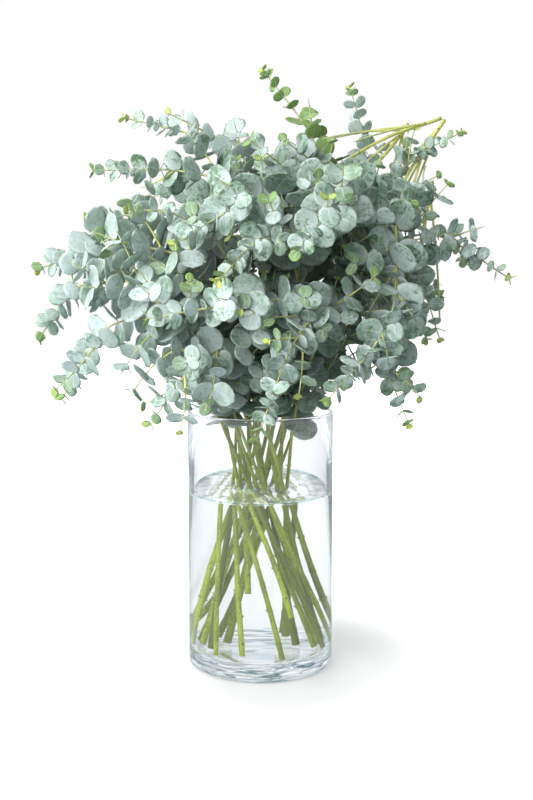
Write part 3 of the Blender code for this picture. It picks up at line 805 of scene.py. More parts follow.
@dataclass
class BunchPlan:
    """The layout of the whole bunch, first as in the frame and then with what the frame leaves out.

    lowest and highest are the corners of the frame's box, which added leaves may pass by box_margin. Leaves
    keep dry_gap off the water and hang into the glass by up to vase_hang. fork_places is how far from its cut
    end a laid branch forks, fork_lengths the shortest and the longest fork in mm, and inner_starts how far
    above the rim a stem's lowest inner leaf may be. Leaves from about back_from mm behind the middle on face
    backwards.
    """

    lowest: Vector
    highest: Vector
    box_margin: float = 6 * MM
    dry_gap: float = 8 * MM
    vase_hang: float = 36 * MM
    shoot_chance: float = 0.8
    shoot_radius: float = 0.9 * MM
    shoots_end: float = 0.72
    inner_leaf: float = 21 * MM
    inner_starts: tuple = (2 * MM, -10 * MM, -20 * MM)
    bud_size: float = 6 * MM
    bud_step: float = 3.5 * MM
    fork_places: tuple = (6 * MM, 14 * MM, 24 * MM, 36 * MM)
    fork_lengths: tuple = (95, 135)
    fork_radii: tuple = (1.2 * MM, 0.7 * MM)
    most_roll: float = math.radians(62)
    back_from: float = 55
    crowd: Crowd = field(default_factory=Crowd)
    planned: list[PlannedBranch] = field(default_factory=list)

    def build(self) -> list[PlannedBranch]:
        """Lays out every branch.

        Returns:
            The branches with their stems, shoots and leaves.
        """
        self.crowd.add_solid(*VaseShape.plain())
        wanted = []
        for branch, line in zip(BRANCHES, Spiral().lines()):
            draw = Random(branch.name)
            stem = Stem(line, STEM_RADIUS, TIP_RADIUS)
            above = 0.0
            if branch.ring is not None:
                above = next(s for p, s in zip(stem.points, stem.lengths) if p.z > VASE_HEIGHT)
            first = above + branch.bare * (stem.length - above)
            stem.add_joints(first, branch.leaf * MM, draw)
            self.crowd.add_stem(stem)
            self.planned.append(PlannedBranch(branch, stem, first))
            wanted.append((stem, stem.joints, draw))
        self.place_leaves(wanted)
        self.turn_to_light()
        self.add_between_leaves()
        self.add_forks()
        self.add_tips()
        self.add_twigs()
        self.add_shoots()
        self.add_inner_leaves()
        return self.planned

    def turn_to_light(self) -> None:
        """Rolls each leaf to the light where there is room: forwards, and backwards behind the bunch."""
        draw = Random("light")
        turned = 0
        for number, (leaf, joint, stem) in enumerate(self.crowd.leaves):
            behind = leaf.root.y / MM + draw.uniform(-40, 40) > self.back_from
            light = Vector((draw.uniform(-0.5, 0.5), 1 if behind else -1, draw.uniform(0, 0.6)))
            share = draw.uniform(0.25, 1.0)
            angle = math.atan2(-light.dot(leaf.across), light.dot(leaf.upward))
            angle = (angle + math.pi / 2) % math.pi - math.pi / 2
            angle = max(-self.most_roll, min(self.most_roll, angle)) * share
            for part in (1.0, 0.6, 0.3):
                new = leaf.rolled(angle * part)
                reach = NEW_LEAF_REACH * leaf.span
                tree = new.tree(LEAF_GAP)
                if self.in_water(new) or self.crowd.crosses(tree, new.centre(), reach, stem, number):
                    continue
                joint.leaves[joint.leaves.index(leaf)] = new
                self.crowd.leaves[number] = (new, joint, stem)
                self.crowd.trees[number] = new.tree()
                turned += 1
                break
        LOG.info("leaves turned to the light: %d of %d", turned, len(self.crowd.leaves))

    def add_between_leaves(self) -> None:
        """Puts a pair of leaves between each two of the frame's joints, where there is room."""
        wanted = []
        for planned in self.planned:
            stem = planned.stem
            draw = Random(planned.branch.name + " between")
            extra = []
            for low, high in zip(stem.joints, stem.joints[1:]):
                size = (low.size + high.size) / 2 * draw.uniform(0.55, 0.9)
                size *= 1 + planned.branch.broad * low.place / stem.length
                twist = low.twist + math.radians(45 + draw.uniform(-12, 12))
                if draw.random() < planned.branch.fullness:
                    extra.append(Joint((low.place + high.place) / 2, size, twist, low.sides))
            stem.joints = sorted([*stem.joints, *extra], key=lambda joint: joint.place)
            wanted.append((stem, extra, draw))
        LOG.info("leaves between the frame's: %d", self.place_leaves(wanted, True))

    def place_leaves(self, wanted: list[tuple[Stem, list[Joint], Random]], spare: bool = False) -> int:
        """Gives joints their leaves, the outermost first, each as the first try that crosses nothing.

        Args:
            wanted: stems with the joints to fill and the source of their leaves' differences.
            spare: whether these are leaves that the frame leaves out, which must keep to its box.

        Returns:
            How many leaves were placed.
        """
        rows = []
        for number, (stem, joints, draw) in enumerate(wanted):
            for joint in joints:
                spot = stem.at(joint.place)[0]
                for side in joint.sides:
                    rows.append(((spot - CROWN_CORE).length, number, stem, joint, side, LeafDraws.draw(draw)))
        rows.sort(key=lambda row: (-row[0], row[1], row[4]))
        placed = 0
        for _, _, stem, joint, side, draws in rows:
            for turn, tilt, scale in LEAF_TRIES:
                leaf = stem.leaf(joint, side, draws, turn, tilt, scale)
                if self.in_water(leaf) or (spare and (self.in_vase(leaf) or not self.in_box(leaf))):
                    continue
                tree = leaf.tree(LEAF_GAP)
                if not self.crowd.crosses(tree, leaf.centre(), NEW_LEAF_REACH * leaf.span, stem):
                    leaf.age = self.youth(joint, stem)
                    joint.leaves.append(leaf)
                    self.crowd.add_leaf(leaf, joint, stem)
                    placed += 1
                    break
        return placed

    def youth(self, joint: Joint, stem: Stem) -> float:
        """How young a leaf is: 0 for a full leaf and 1 for one at the very tip."""
        near_tip = 1 - min(1.0, (stem.length - joint.place) / (24 * MM))
        small = min(1.0, max(0.0, (14 * MM - joint.size) / (9 * MM)))
        return small * (0.35 + 0.65 * near_tip)

    def in_water(self, leaf: Leaf) -> bool:
        """Whether a leaf reaches so far down that it meets the water."""
        lowest = WATER_LEVEL + self.dry_gap
        return any(p.z < lowest and math.hypot(p.x, p.y) < INNER_RADIUS for p in leaf.outline())

    def in_vase(self, leaf: Leaf) -> bool:
        """Whether a leaf hangs far down inside the glass."""
        lowest = VASE_HEIGHT - self.vase_hang
        return any(p.z < lowest and math.hypot(p.x, p.y) < VASE_RADIUS for p in leaf.outline())

    def in_box(self, leaf: Leaf) -> bool:
        """Whether a leaf stays within the frame's box and its margin."""
        over = self.box_margin
        for p in leaf.outline():
            if any(p[k] < self.lowest[k] - over or p[k] > self.highest[k] + over for k in range(3)):
                return False
        return True

    def add_tips(self) -> None:
        """Fills the young tips with the small leaves that the frame leaves out."""
        wanted = []
        for planned in self.planned:
            stem = planned.stem
            last = max([j.place for j in stem.joints + stem.buds], default=0.0)
            place = last + self.bud_step
            while place < stem.length:
                sides = (0, 2) if len(stem.buds) % 2 else (1, 3)
                stem.buds.append(Joint(place, self.bud_size, 0.3, sides))
                place += self.bud_step
            wanted.append((stem, stem.buds, Random(planned.branch.name + " tip")))
        LOG.info("young leaves at the tips: %d", self.place_leaves(wanted, True))

    def add_forks(self) -> None:
        """Splits each laid branch near its cut end into twigs that run on beside it into the bunch."""
        for planned in self.planned:
            if planned.branch.ring is not None:
                continue
            stem = planned.stem
            draw = Random(planned.branch.name + " forks")
            for place in self.fork_places:
                spot, tangent, side, other = stem.at(place)
                for turn in range(12):
                    angle = draw.uniform(0, math.tau)
                    length = draw.uniform(*self.fork_lengths) * MM * (1 - 0.05 * turn)
                    lean = draw.uniform(0.16, 0.36)
                    outward = side * math.cos(angle) + other * math.sin(angle)
                    start = (tangent + outward * lean).normalized()
                    end = (tangent + outward * lean * 0.6 + Vector((0, 0, -0.12))).normalized()
                    points, steps = [spot], max(6, int(length / (4 * MM)))
                    for k in range(steps):
                        points.append(points[-1] + start.lerp(end, k / steps).normalized() * (length / steps))
                    twig = Stem(points, *self.fork_radii)
                    tree = twig.tree(LEAF_GAP, 16 * MM)
                    if not self.crowd.crosses(tree, points[len(points) // 2], length * 0.6, None):
                        planned.shoots.append(twig)
                        self.crowd.add_stem(twig, 14 * MM)
                        break
        LOG.info("forks of the laid branches: %d", sum(len(one.shoots) for one in self.planned))

    def add_twigs(self) -> None:
        """Grows the twigs that the photograph shows apart, each as the first try that crosses nothing."""
        wanted = []
        for number, twig in enumerate(TWIGS):
            planned = next(one for one in self.planned if one.branch.name == twig.branch)
            draw = Random(f"twig {number}")
            spot = planned.stem.at(twig.share * planned.stem.length)[0]
            for attempt in range(30):
                off = Vector([draw.uniform(-1, 1) * 0.7 * attempt * MM for _ in range(3)])
                ends = [Vector(point) * MM + off for point in twig.route]
                line = evenly(smooth_route([spot, *ends]), 3 * MM)
                shoot = Stem([Vector(point) for point in line], self.shoot_radius, 0.4 * MM)
                tree = shoot.tree(LEAF_GAP, 6 * MM)
                middle = shoot.points[len(shoot.points) // 2]
                if not self.crowd.crosses(tree, middle, shoot.length * 0.6, planned.stem):
                    shoot.add_joints(8 * MM, twig.leaf * MM, draw, 3 * MM)
                    shoot.fresh = draw.choice((0.0, 0.0, 0.3))
                    self.crowd.add_stem(shoot, 3 * MM)
                    planned.shoots.append(shoot)
                    wanted.append((shoot, shoot.joints, draw))
                    break
        LOG.info("twigs: %d, their leaves: %d", len(wanted), self.place_leaves(wanted, True))

    def add_shoots(self) -> None:
        """Grows side shoots from the axils of the leaves, where there is room, and then their leaves."""
        wanted = []
        for planned in self.planned:
            draw = Random(planned.branch.name + " shoots")
            for joint in planned.stem.joints:
                share = (joint.place - planned.leafy_from) / (planned.stem.length - planned.leafy_from)
                side = joint.sides[draw.randrange(2)]
                length = draw.uniform(34, 78) * MM * (1 - 0.55 * share) * planned.branch.airy
                if share > self.shoots_end or draw.random() > self.shoot_chance:
                    continue
                shoot = self.shoot_from(planned.stem, joint, side, length, draw)
                if shoot is not None:
                    planned.shoots.append(shoot)
                    leaf_draw = Random(f"{planned.branch.name} shoot {joint.place:.3f}")
                    wanted.append((shoot, shoot.joints, leaf_draw))
        LOG.info("side shoots: %d", len(wanted))
        LOG.info("leaves on side shoots: %d", self.place_leaves(wanted, True))

    def shoot_from(self, stem: Stem, joint: Joint, side: int, length: float, draw: Random) -> Stem | None:
        """A side shoot from one axil, turned until it crosses nothing.

        Args:
            stem: the stem that it grows from.
            joint: the joint above which it grows.
            side: the side of the stem.
            length: its length.
            draw: the seeded source of its curve.

        Returns:
            The shoot, or None where there is no room.
        """
        spot, tangent, first, second = stem.at(joint.place + 1.5 * MM)
        lift = draw.uniform(0.0, 0.35)
        for turn in (0, 24, -24, 48, -48):
            angle = joint.twist + math.radians(90 * side + turn)
            outward = first * math.cos(angle) + second * math.sin(angle)
            start = (tangent * math.cos(0.85) + outward * math.sin(0.85)).normalized()
            later = (start + tangent * 0.55 + Vector((0, 0, lift))).normalized()
            points = [spot]
            steps = max(5, int(length / (3 * MM)))
            for k in range(steps):
                ahead = start.lerp(later, (k + 1) / steps).normalized()
                points.append(points[-1] + ahead * (length / steps))
            shoot = Stem(points, self.shoot_radius, 0.4 * MM)
            inside = all(self.lowest[k] < points[-1][k] < self.highest[k] for k in range(3))
            middle = points[len(points) // 2]
            tree = shoot.tree(LEAF_GAP, 4.5 * MM)
            if inside and not self.crowd.crosses(tree, middle, length * 0.6, None):
                widest = min(0.84 * joint.size, 21 * MM)
                shoot.add_joints(min(10 * MM, 0.3 * length), widest, draw, 3 * MM)
                shoot.fresh = draw.choice((0.0, 0.0, 0.0, 0.1, 0.2, 0.45))
                self.crowd.add_stem(shoot, 3 * MM)
                return shoot
        return None

    def add_inner_leaves(self) -> None:
        """Puts leaves on the stretch of stem between the rim and the frame's lowest joint."""
        wanted = []
        for planned in self.planned:
            stem = planned.stem
            if planned.branch.ring is None:
                continue
            draw = Random(planned.branch.name + " inner")
            lowest = VASE_HEIGHT + draw.choice(self.inner_starts)
            above = next(s for p, s in zip(stem.points, stem.lengths) if p.z > lowest)
            joints, place, count = [], planned.leafy_from - 15 * MM, 0
            while place > above:
                sides = (0, 2) if count % 2 else (1, 3)
                size = self.inner_leaf * draw.uniform(0.8, 1.15)
                joints.append(Joint(place, size, draw.uniform(-0.3, 0.3), sides))
                place -= draw.uniform(13, 19) * MM
                count += 1
            stem.joints = [*reversed(joints), *stem.joints]
            wanted.append((stem, joints, draw))
        LOG.info("leaves deep in the bunch: %d", self.place_leaves(wanted, True))


# Meshes


def new_object(name: str, data: ID) -> Object:
    """An object in the scene that holds a mesh, a lamp or a camera."""
    made = bpy.data.objects.new(name, data)
    bpy.context.scene.collection.objects.link(made)
    return made


@dataclass(frozen=True)
class LeafGrid:
    """The net of a leaf that bulges: an upper and a lower net of quads that share their edge.

    Rows run along the midrib and columns across it. u is -1 to 1 across, t is 0 to 1 along, and face is 1 on
    the upper net, -1 on the lower and 0 on the edge that they share.
    """

    u: np.ndarray
    t: np.ndarray
    face: np.ndarray
    quads: np.ndarray

    @classmethod
    def of(cls, rows: int, columns: int) -> LeafGrid:
        """Makes the net.

        Args:
            rows: rows of quads from root to tip.
            columns: columns of quads across, an even number.

        Returns:
            The net.
        """
        u, t, face = [], [], []
        index: dict[tuple[int, int, int], int] = {}
        for k in range(rows + 1):
            for j in range(columns + 1):
                edge = j in (0, columns) or k in (0, rows)
                for side in (0,) if edge else (1, -1):
                    index[k, j, side] = len(u)
                    u.append(2 * j / columns - 1)
                    t.append(0.5 - 0.5 * math.cos(math.pi * k / rows))
                    face.append(side)
        quads = []
        for k in range(rows):
            for j in range(columns):
                cell = ((k, j), (k, j + 1), (k + 1, j + 1), (k + 1, j))
                for side in (1, -1):
                    quad = [index.get((*corner, side), index.get((*corner, 0))) for corner in cell]
                    quads.append(quad if side == 1 else quad[::-1])
        return cls(np.array(u), np.array(t), np.array(face, float), np.array(quads))


@dataclass(frozen=True)
class LeafForm:
    """How a eucalyptus leaf departs from a flat disc, as shares of its width."""

    thick: float = 0.022
    lobe: float = 0.07
    point: float = 0.045
    wave: float = 0.03
    crease: float = 0.014
    neck: float = 0.16
    uneven: float = 0.05

    def points(self, leaf: Leaf, grid: LeafGrid, draw: Random) -> np.ndarray:
        """The net's points in space.

        Args:
            leaf: the leaf.
            grid: its net.
            draw: the seeded source of its waves and bend.

        Returns:
            The points, one a row.
        """
        u, t = grid.u, grid.t
        round_half = np.sqrt(np.clip(1 - (2 * t - 1) ** 2, 0, 1))
        turns, phase = draw.uniform(0.8, 1.6), draw.uniform(0, 6)
        uneven = 1 + self.uneven * np.sin(math.tau * turns * t + phase * np.sign(u))
        half = np.maximum(round_half * (1 + 0.10 * (0.45 - t)) * uneven, self.neck * (1 - t) ** 6)
        lateral = u * half * 0.5 * leaf.width
        lobes = -self.lobe * leaf.width * np.abs(u) ** 2 * (1 - t) ** 3
        point = self.point * leaf.width * (1 - np.abs(u)) * t**14
        along = t * leaf.length + lobes + point
        bulge = leaf.cup * (0.3 * (u * half) ** 2 - 0.26 * half**2)
        bend = draw.uniform(-0.07, 0.04) * leaf.length * t**2
        phase, turns = draw.uniform(0, math.tau), draw.uniform(1.2, 2.4)
        wave = np.sin(turns * math.tau * t * np.sign(u) + phase) * np.abs(u) ** 3 * half
        wave = self.wave * leaf.width * wave
        crease = -self.crease * leaf.width * (1 - np.abs(u)) ** 5 * half
        body = self.thick * leaf.width * grid.face * (1 - np.abs(u) ** 3) * half**0.5
        rise = bulge + bend + wave + crease + body
        axes = np.array([leaf.along, leaf.across, leaf.upward])
        root = np.array(leaf.root) - np.array(leaf.along) * 0.35 * MM
        return root + along[:, None] * axes[0] + lateral[:, None] * axes[1] + rise[:, None] * axes[2]


@dataclass
class MeshStore:
    """Points, faces and what the finishes read at each point, collected for one object."""

    points: list[np.ndarray] = field(default_factory=list)
    spots: list[np.ndarray] = field(default_factory=list)
    marks: list[np.ndarray] = field(default_factory=list)
    faces: list[np.ndarray] = field(default_factory=list)
    parts: list[np.ndarray] = field(default_factory=list)
    count: int = 0

    def add(self, points: np.ndarray, spots: np.ndarray, mark: tuple, faces: np.ndarray, part: Part) -> None:
        """Adds a net with one finish.

        Args:
            points: its points, one a row.
            spots: where each point is on its leaf or stem, three numbers each.
            mark: three numbers that are the same over the net.
            faces: its faces as rows of four indices.
            part: its finish.
        """
        self.points.append(points)
        self.spots.append(spots)
        self.marks.append(np.tile(np.array(mark, float), (len(points), 1)))
        self.faces.append(faces + self.count)
        self.parts.append(np.full(len(faces), part.value))
        self.count += len(points)

    def object(self, name: str, materials: list[Material]) -> Object:
        """Makes the object, shaded smooth.

        Args:
            name: its name.
            materials: its materials in the order of Part.

        Returns:
            The object, linked to the scene.
        """
        points = np.concatenate(self.points)
        faces = np.concatenate(self.faces)
        parts = np.concatenate(self.parts)
        mesh = bpy.data.meshes.new(name)
        rows = [tuple(dict.fromkeys(row)) for row in faces.tolist()]
        mesh.from_pydata(points.tolist(), [], rows)
        for material in materials:
            mesh.materials.append(material)
        mesh.polygons.foreach_set("material_index", parts.astype(np.int32))
        for label, values in (("spot", self.spots), ("mark", self.marks)):
            held = mesh.attributes.new(label, "FLOAT_VECTOR", "POINT")
            held.data.foreach_set("vector", np.concatenate(values).astype(np.float32).ravel())
        mesh.shade_smooth()
        return new_object(name, mesh)


@dataclass
class StemSkin:
    """The round skin of a stem, swollen at its joints and scars, closed at both ends.

    nub is the longest stub of a stripped twig, nub_chance how likely one is on each side of a scar, and girth
    how thick the skin is beside the plain stem.
    """

    sides: int = 10
    step: float = 2.6 * MM
    scar_spacing: float = 27 * MM
    scar_swell: float = 0.16
    joint_swell: float = 0.3
    nub: float = 1.5 * MM
    nub_chance: float = 0.7
    girth: float = 1.0

    def dress(self, stem: Stem, store: MeshStore, draw: Random, standing: bool) -> None:
        """Adds the skin of one stem, with its scars and nubs, to a store.

        Args:
            stem: the stem.
            store: where it goes.
            draw: the seeded source of its scars.
            standing: whether its foot stands in water.
        """
        bare_to = min([j.place for j in stem.joints if j.leaves], default=stem.length)
        scars, place = [], draw.uniform(9, 20) * MM
        while place < bare_to - 12 * MM:
            scars.append(place)
            place += self.scar_spacing * draw.uniform(0.7, 1.35)
        bumps = [(s, self.scar_swell) for s in scars]
        bumps += [(j.place, self.joint_swell) for j in stem.joints if j.leaves]
        self.tube(stem, store, bumps, draw.random(), standing)
        for number, scar in enumerate(scars):
            for side in (0, 2) if number % 2 else (1, 3):
                if draw.random() < self.nub_chance:
                    self.add_nub(stem, store, scar, side, draw)

    def tube(self, stem: Stem, store: MeshStore, bumps: list, tint: float, standing: bool) -> None:
        """Adds the stem's tube.

        Args:
            stem: the stem.
            store: where it goes.
            bumps: places and shares by which the stem swells there.
            tint: a number that sets its colour apart from its neighbours'.
            standing: whether its foot stands in water.
        """
        steps = max(6, round(stem.length / self.step))
        places = np.linspace(0, stem.length, steps + 1)
        points, spots = [], []
        angles = np.linspace(0, 2 * math.pi, self.sides, endpoint=False)
        for place in places:
            spot, _, side, other = stem.at(place)
            swell = 1 + sum(a * math.exp(-(((place - p) / (1.5 * MM)) ** 2)) for p, a in bumps)
            reach = stem.radius(place) * self.girth * swell * (0.35 if place == places[-1] else 1.0)
            near = min([abs(place - p) for p, _ in bumps], default=1.0)
            for angle in angles:
                flat = 1 + 0.05 * math.cos(4 * angle)
                points.append(spot + (side * math.cos(angle) + other * math.sin(angle)) * reach * flat)
                spots.append((place / stem.length, spot.z if standing else 1.0, near / MM))
        points += [stem.at(0)[0], stem.at(stem.length)[0] + stem.at(stem.length)[1] * 0.3 * MM]
        spots += [(0.0, spots[0][1], 9.0), (1.0, 1.0, 9.0)]
        quads = []
        for k in range(steps):
            for j in range(self.sides):
                a, b = k * self.sides + j, k * self.sides + (j + 1) % self.sides
                quads.append((a, b, b + self.sides, a + self.sides))
        foot, tip = len(points) - 2, len(points) - 1
        for j in range(self.sides):
            m = (j + 1) % self.sides
            quads.append((m, j, foot, foot))
            quads.append((steps * self.sides + j, steps * self.sides + m, tip, tip))
        mark = (tint, stem.radius_start / STEM_RADIUS, 0.0)
        store.add(np.array([tuple(p) for p in points]), np.array(spots), mark, np.array(quads), Part.STEM)

    def add_nub(self, stem: Stem, store: MeshStore, place: float, side: int, draw: Random) -> None:
        """Adds the stub that a stripped leaf or twig left.

        Args:
            stem: the stem.
            store: where it goes.
            place: the distance from the foot.
            side: the side of the stem.
            draw: the seeded source of its size.
        """
        spot, tangent, first, second = stem.at(place)
        angle = math.radians(90 * side)
        outward = first * math.cos(angle) + second * math.sin(angle)
        across = tangent.cross(outward)
        radius = stem.radius(place) * self.girth
        tall = self.nub * draw.uniform(0.3, 1.0)
        wide = 0.42 * radius
        rings = ((radius * 0.7, 1.3), (radius + tall * 0.5, 0.8), (radius + tall, 0.55))
        points, spots = [], []
        for reach, share in rings:
            for k in range(6):
                turn = math.tau * k / 6
                rim = tangent * math.cos(turn) + across * math.sin(turn)
                points.append(spot + outward * reach + tangent * (reach - radius) * 0.5 + rim * wide * share)
                spots.append((place / stem.length, spot.z, 0.0 if reach > radius else 2.0))
        points.append(spot + outward * (radius + tall) + tangent * tall * 0.5)
        spots.append((place / stem.length, spot.z, 0.0))
        quads = []
        for ring in range(2):
            for k in range(6):
                a, b = 6 * ring + k, 6 * ring + (k + 1) % 6
                quads.append((a, a + 6, b + 6, b))
        for k in range(6):
            quads.append((12 + k, 18, 12 + (k + 1) % 6, 12 + (k + 1) % 6))
        mark = (draw.random(), 1.0, 1.0)
        store.add(np.array([tuple(p) for p in points]), np.array(spots), mark, np.array(quads), Part.STEM)


@dataclass
class BranchPiece:
    """One branch as a fine mesh: its stem, its shoots and all its leaves."""

    planned: PlannedBranch
    form: LeafForm = field(default_factory=LeafForm)
    skin: StemSkin = field(default_factory=StemSkin)

    def build(self, materials: list[Material], grids: list[tuple[float, LeafGrid]]) -> Object:
        """Builds the piece and sets it in the place of its plain node.

        Args:
            materials: the finishes in the order of Part.
            grids: leaf nets, each with the least width that it is for, widest first.

        Returns:
            The piece.
        """
        name = self.planned.branch.name
        draw = Random(name + " fine")
        store = MeshStore()
        standing = self.planned.branch.ring is not None
        self.skin.girth = draw.uniform(0.8, 1.02) if standing else 0.68
        self.skin.nub, self.skin.scar_spacing = (1.5 * MM, 27 * MM) if standing else (5 * MM, 17 * MM)
        self.skin.dress(self.planned.stem, store, draw, standing)
        thin = StemSkin(sides=6, step=3.5 * MM)
        for shoot in self.planned.shoots:
            bumps = [(j.place, thin.joint_swell) for j in shoot.joints if j.leaves]
            thin.tube(shoot, store, bumps, draw.random(), False)
        green, pale = self.planned.branch.tone.value
        for stem in (self.planned.stem, *self.planned.shoots):
            for joint in [*stem.joints, *stem.buds]:
                for leaf in joint.leaves:
                    grid = next(net for least, net in grids if leaf.width > least)
                    points = self.form.points(leaf, grid, draw)
                    spots = np.stack([grid.u, grid.t, np.full(len(grid.u), leaf.width / MM)], axis=1)
                    tint = min(1.0, max(0.0, draw.gauss(0.5, 0.2)))
                    fresh = (stem.fresh + draw.uniform(-0.12, 0.12)) * min(1.0, 9 * MM / leaf.width)
                    age = max(leaf.age, 0.6 * green, fresh)
                    mark = (age, tint, max(0.0, min(1.0, pale + draw.uniform(-0.25, 0.25))))
                    store.add(points, spots, mark, grid.quads, Part.LEAF)
        piece = store.object("fine_" + name, materials)
        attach(piece, "root")
        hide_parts(name)
        return piece


@dataclass(frozen=True)
class VaseShape:
    """The turned outlines of the glass and the water."""

    sides: int = 144
    plain_sides: int = 30
    round_steps: int = 7
    meniscus: float = 1.7 * MM
    spread: float = 1.7 * MM
    overlap: float = 0.12 * MM
    surface_rings: int = 46
    hollow: float = 1.8 * MM

    @staticmethod
    def rounding(radius: float, height: float, size: float, start: float, end: float, steps: int) -> list:
        """Points of an arc in a turned outline.

        Args:
            radius: the arc's centre, out from the axis.
            height: the arc's centre, up from the table.
            size: the arc's radius.
            start: where it starts, in degrees.
            end: where it ends, in degrees.
            steps: how many straight runs it has.

        Returns:
            Pairs of a radius and a height.
        """
        angles = [math.radians(start + (end - start) * k / steps) for k in range(steps + 1)]
        return [(radius + size * math.cos(a), height + size * math.sin(a)) for a in angles]

    @classmethod
    def outline(cls, steps: int, rim_steps: int, hollow: float = 0.0) -> list:
        """The glass's outline from the middle of its underside over its rim to the middle of its floor.

        Args:
            steps: straight runs in each quarter round.
            rim_steps: straight runs in the rim's half round.
            hollow: how far the underside rises in the middle.

        Returns:
            Pairs of a radius and a height.
        """
        outline = [(share * 50 * MM, hollow * (1 - share**2) ** 2) for share in np.linspace(0, 1, steps)]
        outline += cls.rounding(VASE_RADIUS - FOOT_ROUND, FOOT_ROUND, FOOT_ROUND, -90, 0, steps)
        outline += cls.rounding(VASE_RADIUS - WALL / 2, VASE_HEIGHT - RIM_ROUND, WALL / 2, 0, 180, rim_steps)
        outline += cls.rounding(INNER_RADIUS - INNER_ROUND, FLOOR + INNER_ROUND, INNER_ROUND, 0, -90, steps)
        outline.append((0, FLOOR))
        return outline

    @classmethod
    def turn(cls, outline: list, sides: int) -> tuple[list[Vector], list[tuple[int, ...]]]:
        """Turns an outline round the vase's axis.

        Args:
            outline: pairs of a radius and a height, from the axis and back to it.
            sides: how many sides the round has.

        Returns:
            The points and the faces.
        """
        points: list[Vector] = []
        rings = []
        for radius, height in outline:
            first = len(points)
            if radius < 1e-6:
                points.append(Vector((0, 0, height)))
                rings.append([first] * sides)
            else:
                points += [polar(radius, 2 * math.pi * k / sides, height) for k in range(sides)]
                rings.append(list(range(first, first + sides)))
        faces = []
        for low, high in zip(rings, rings[1:]):
            for k in range(sides):
                m = (k + 1) % sides
                faces.append(tuple(dict.fromkeys((low[k], low[m], high[m], high[k]))))
        return points, faces

    @classmethod
    def plain(cls) -> tuple[list[Vector], list[tuple[int, ...]]]:
        """The plain glass that leaves were tested against."""
        return cls.turn(cls.outline(2, 4), cls.plain_sides)

    def piece(self, name: str, node: str, outline: list, material: Material) -> Object:
        """A fine turned piece in the place of a plain node.

        Args:
            name: the piece's name.
            node: the node's name.
            outline: pairs of a radius and a height.
            material: its finish.

        Returns:
            The piece.
        """
        points, faces = self.turn(outline, self.sides)
        mesh = bpy.data.meshes.new(name)
        mesh.from_pydata([tuple(p) for p in points], [], faces)
        mesh.materials.append(material)
        mesh.shade_smooth()
        mesh.set_sharp_from_angle(angle=math.radians(50))
        made = new_object(name, mesh)
        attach(made, "root")
        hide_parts(node)
        return made

    def glass(self, material: Material) -> Object:
        """The clear glass vase."""
        return self.piece("clear_vase", "vase", self.outline(self.round_steps, 10, self.hollow), material)

    def water(self, material: Material, stems: list[Stem]) -> Object:
        """The water, which reaches a hair into the glass, so that no air shows between them.

        Its surface rises at the glass and at each stem that stands in it.

        Args:
            material: its finish.
            stems: the stems that stand in it.

        Returns:
            The piece.
        """
        radius, low = INNER_RADIUS + self.overlap, FLOOR - self.overlap
        outline = [(0, low)]
        corner = INNER_ROUND
        outline += self.rounding(radius - corner, low + corner, corner, -90, 0, self.round_steps)
        rings = self.surface_rings
        outline += [(radius * math.sin(math.pi / 2 * (1 - k / rings)), WATER_LEVEL) for k in range(rings)]
        outline.append((0, WATER_LEVEL))
        made = self.piece("clear_water", "water", outline, material)
        places = []
        for stem in stems:
            for below, above in zip(stem.points, stem.points[1:]):
                if below.z <= WATER_LEVEL < above.z:
                    places.append(below.lerp(above, (WATER_LEVEL - below.z) / (above.z - below.z)).xy)
        for vertex in made.data.vertices:
            if vertex.co.z > WATER_LEVEL - 1e-6:
                at = vertex.co.xy
                rise = math.exp(-max(0.0, INNER_RADIUS - at.length) / self.spread)
                for place in places:
                    rise += 0.9 * math.exp(-max(0.0, (at - place).length - 2.4 * MM) / self.spread)
                vertex.co.z += self.meniscus * min(rise, 1.0)
        made.data.update()
        return made


# Finishes


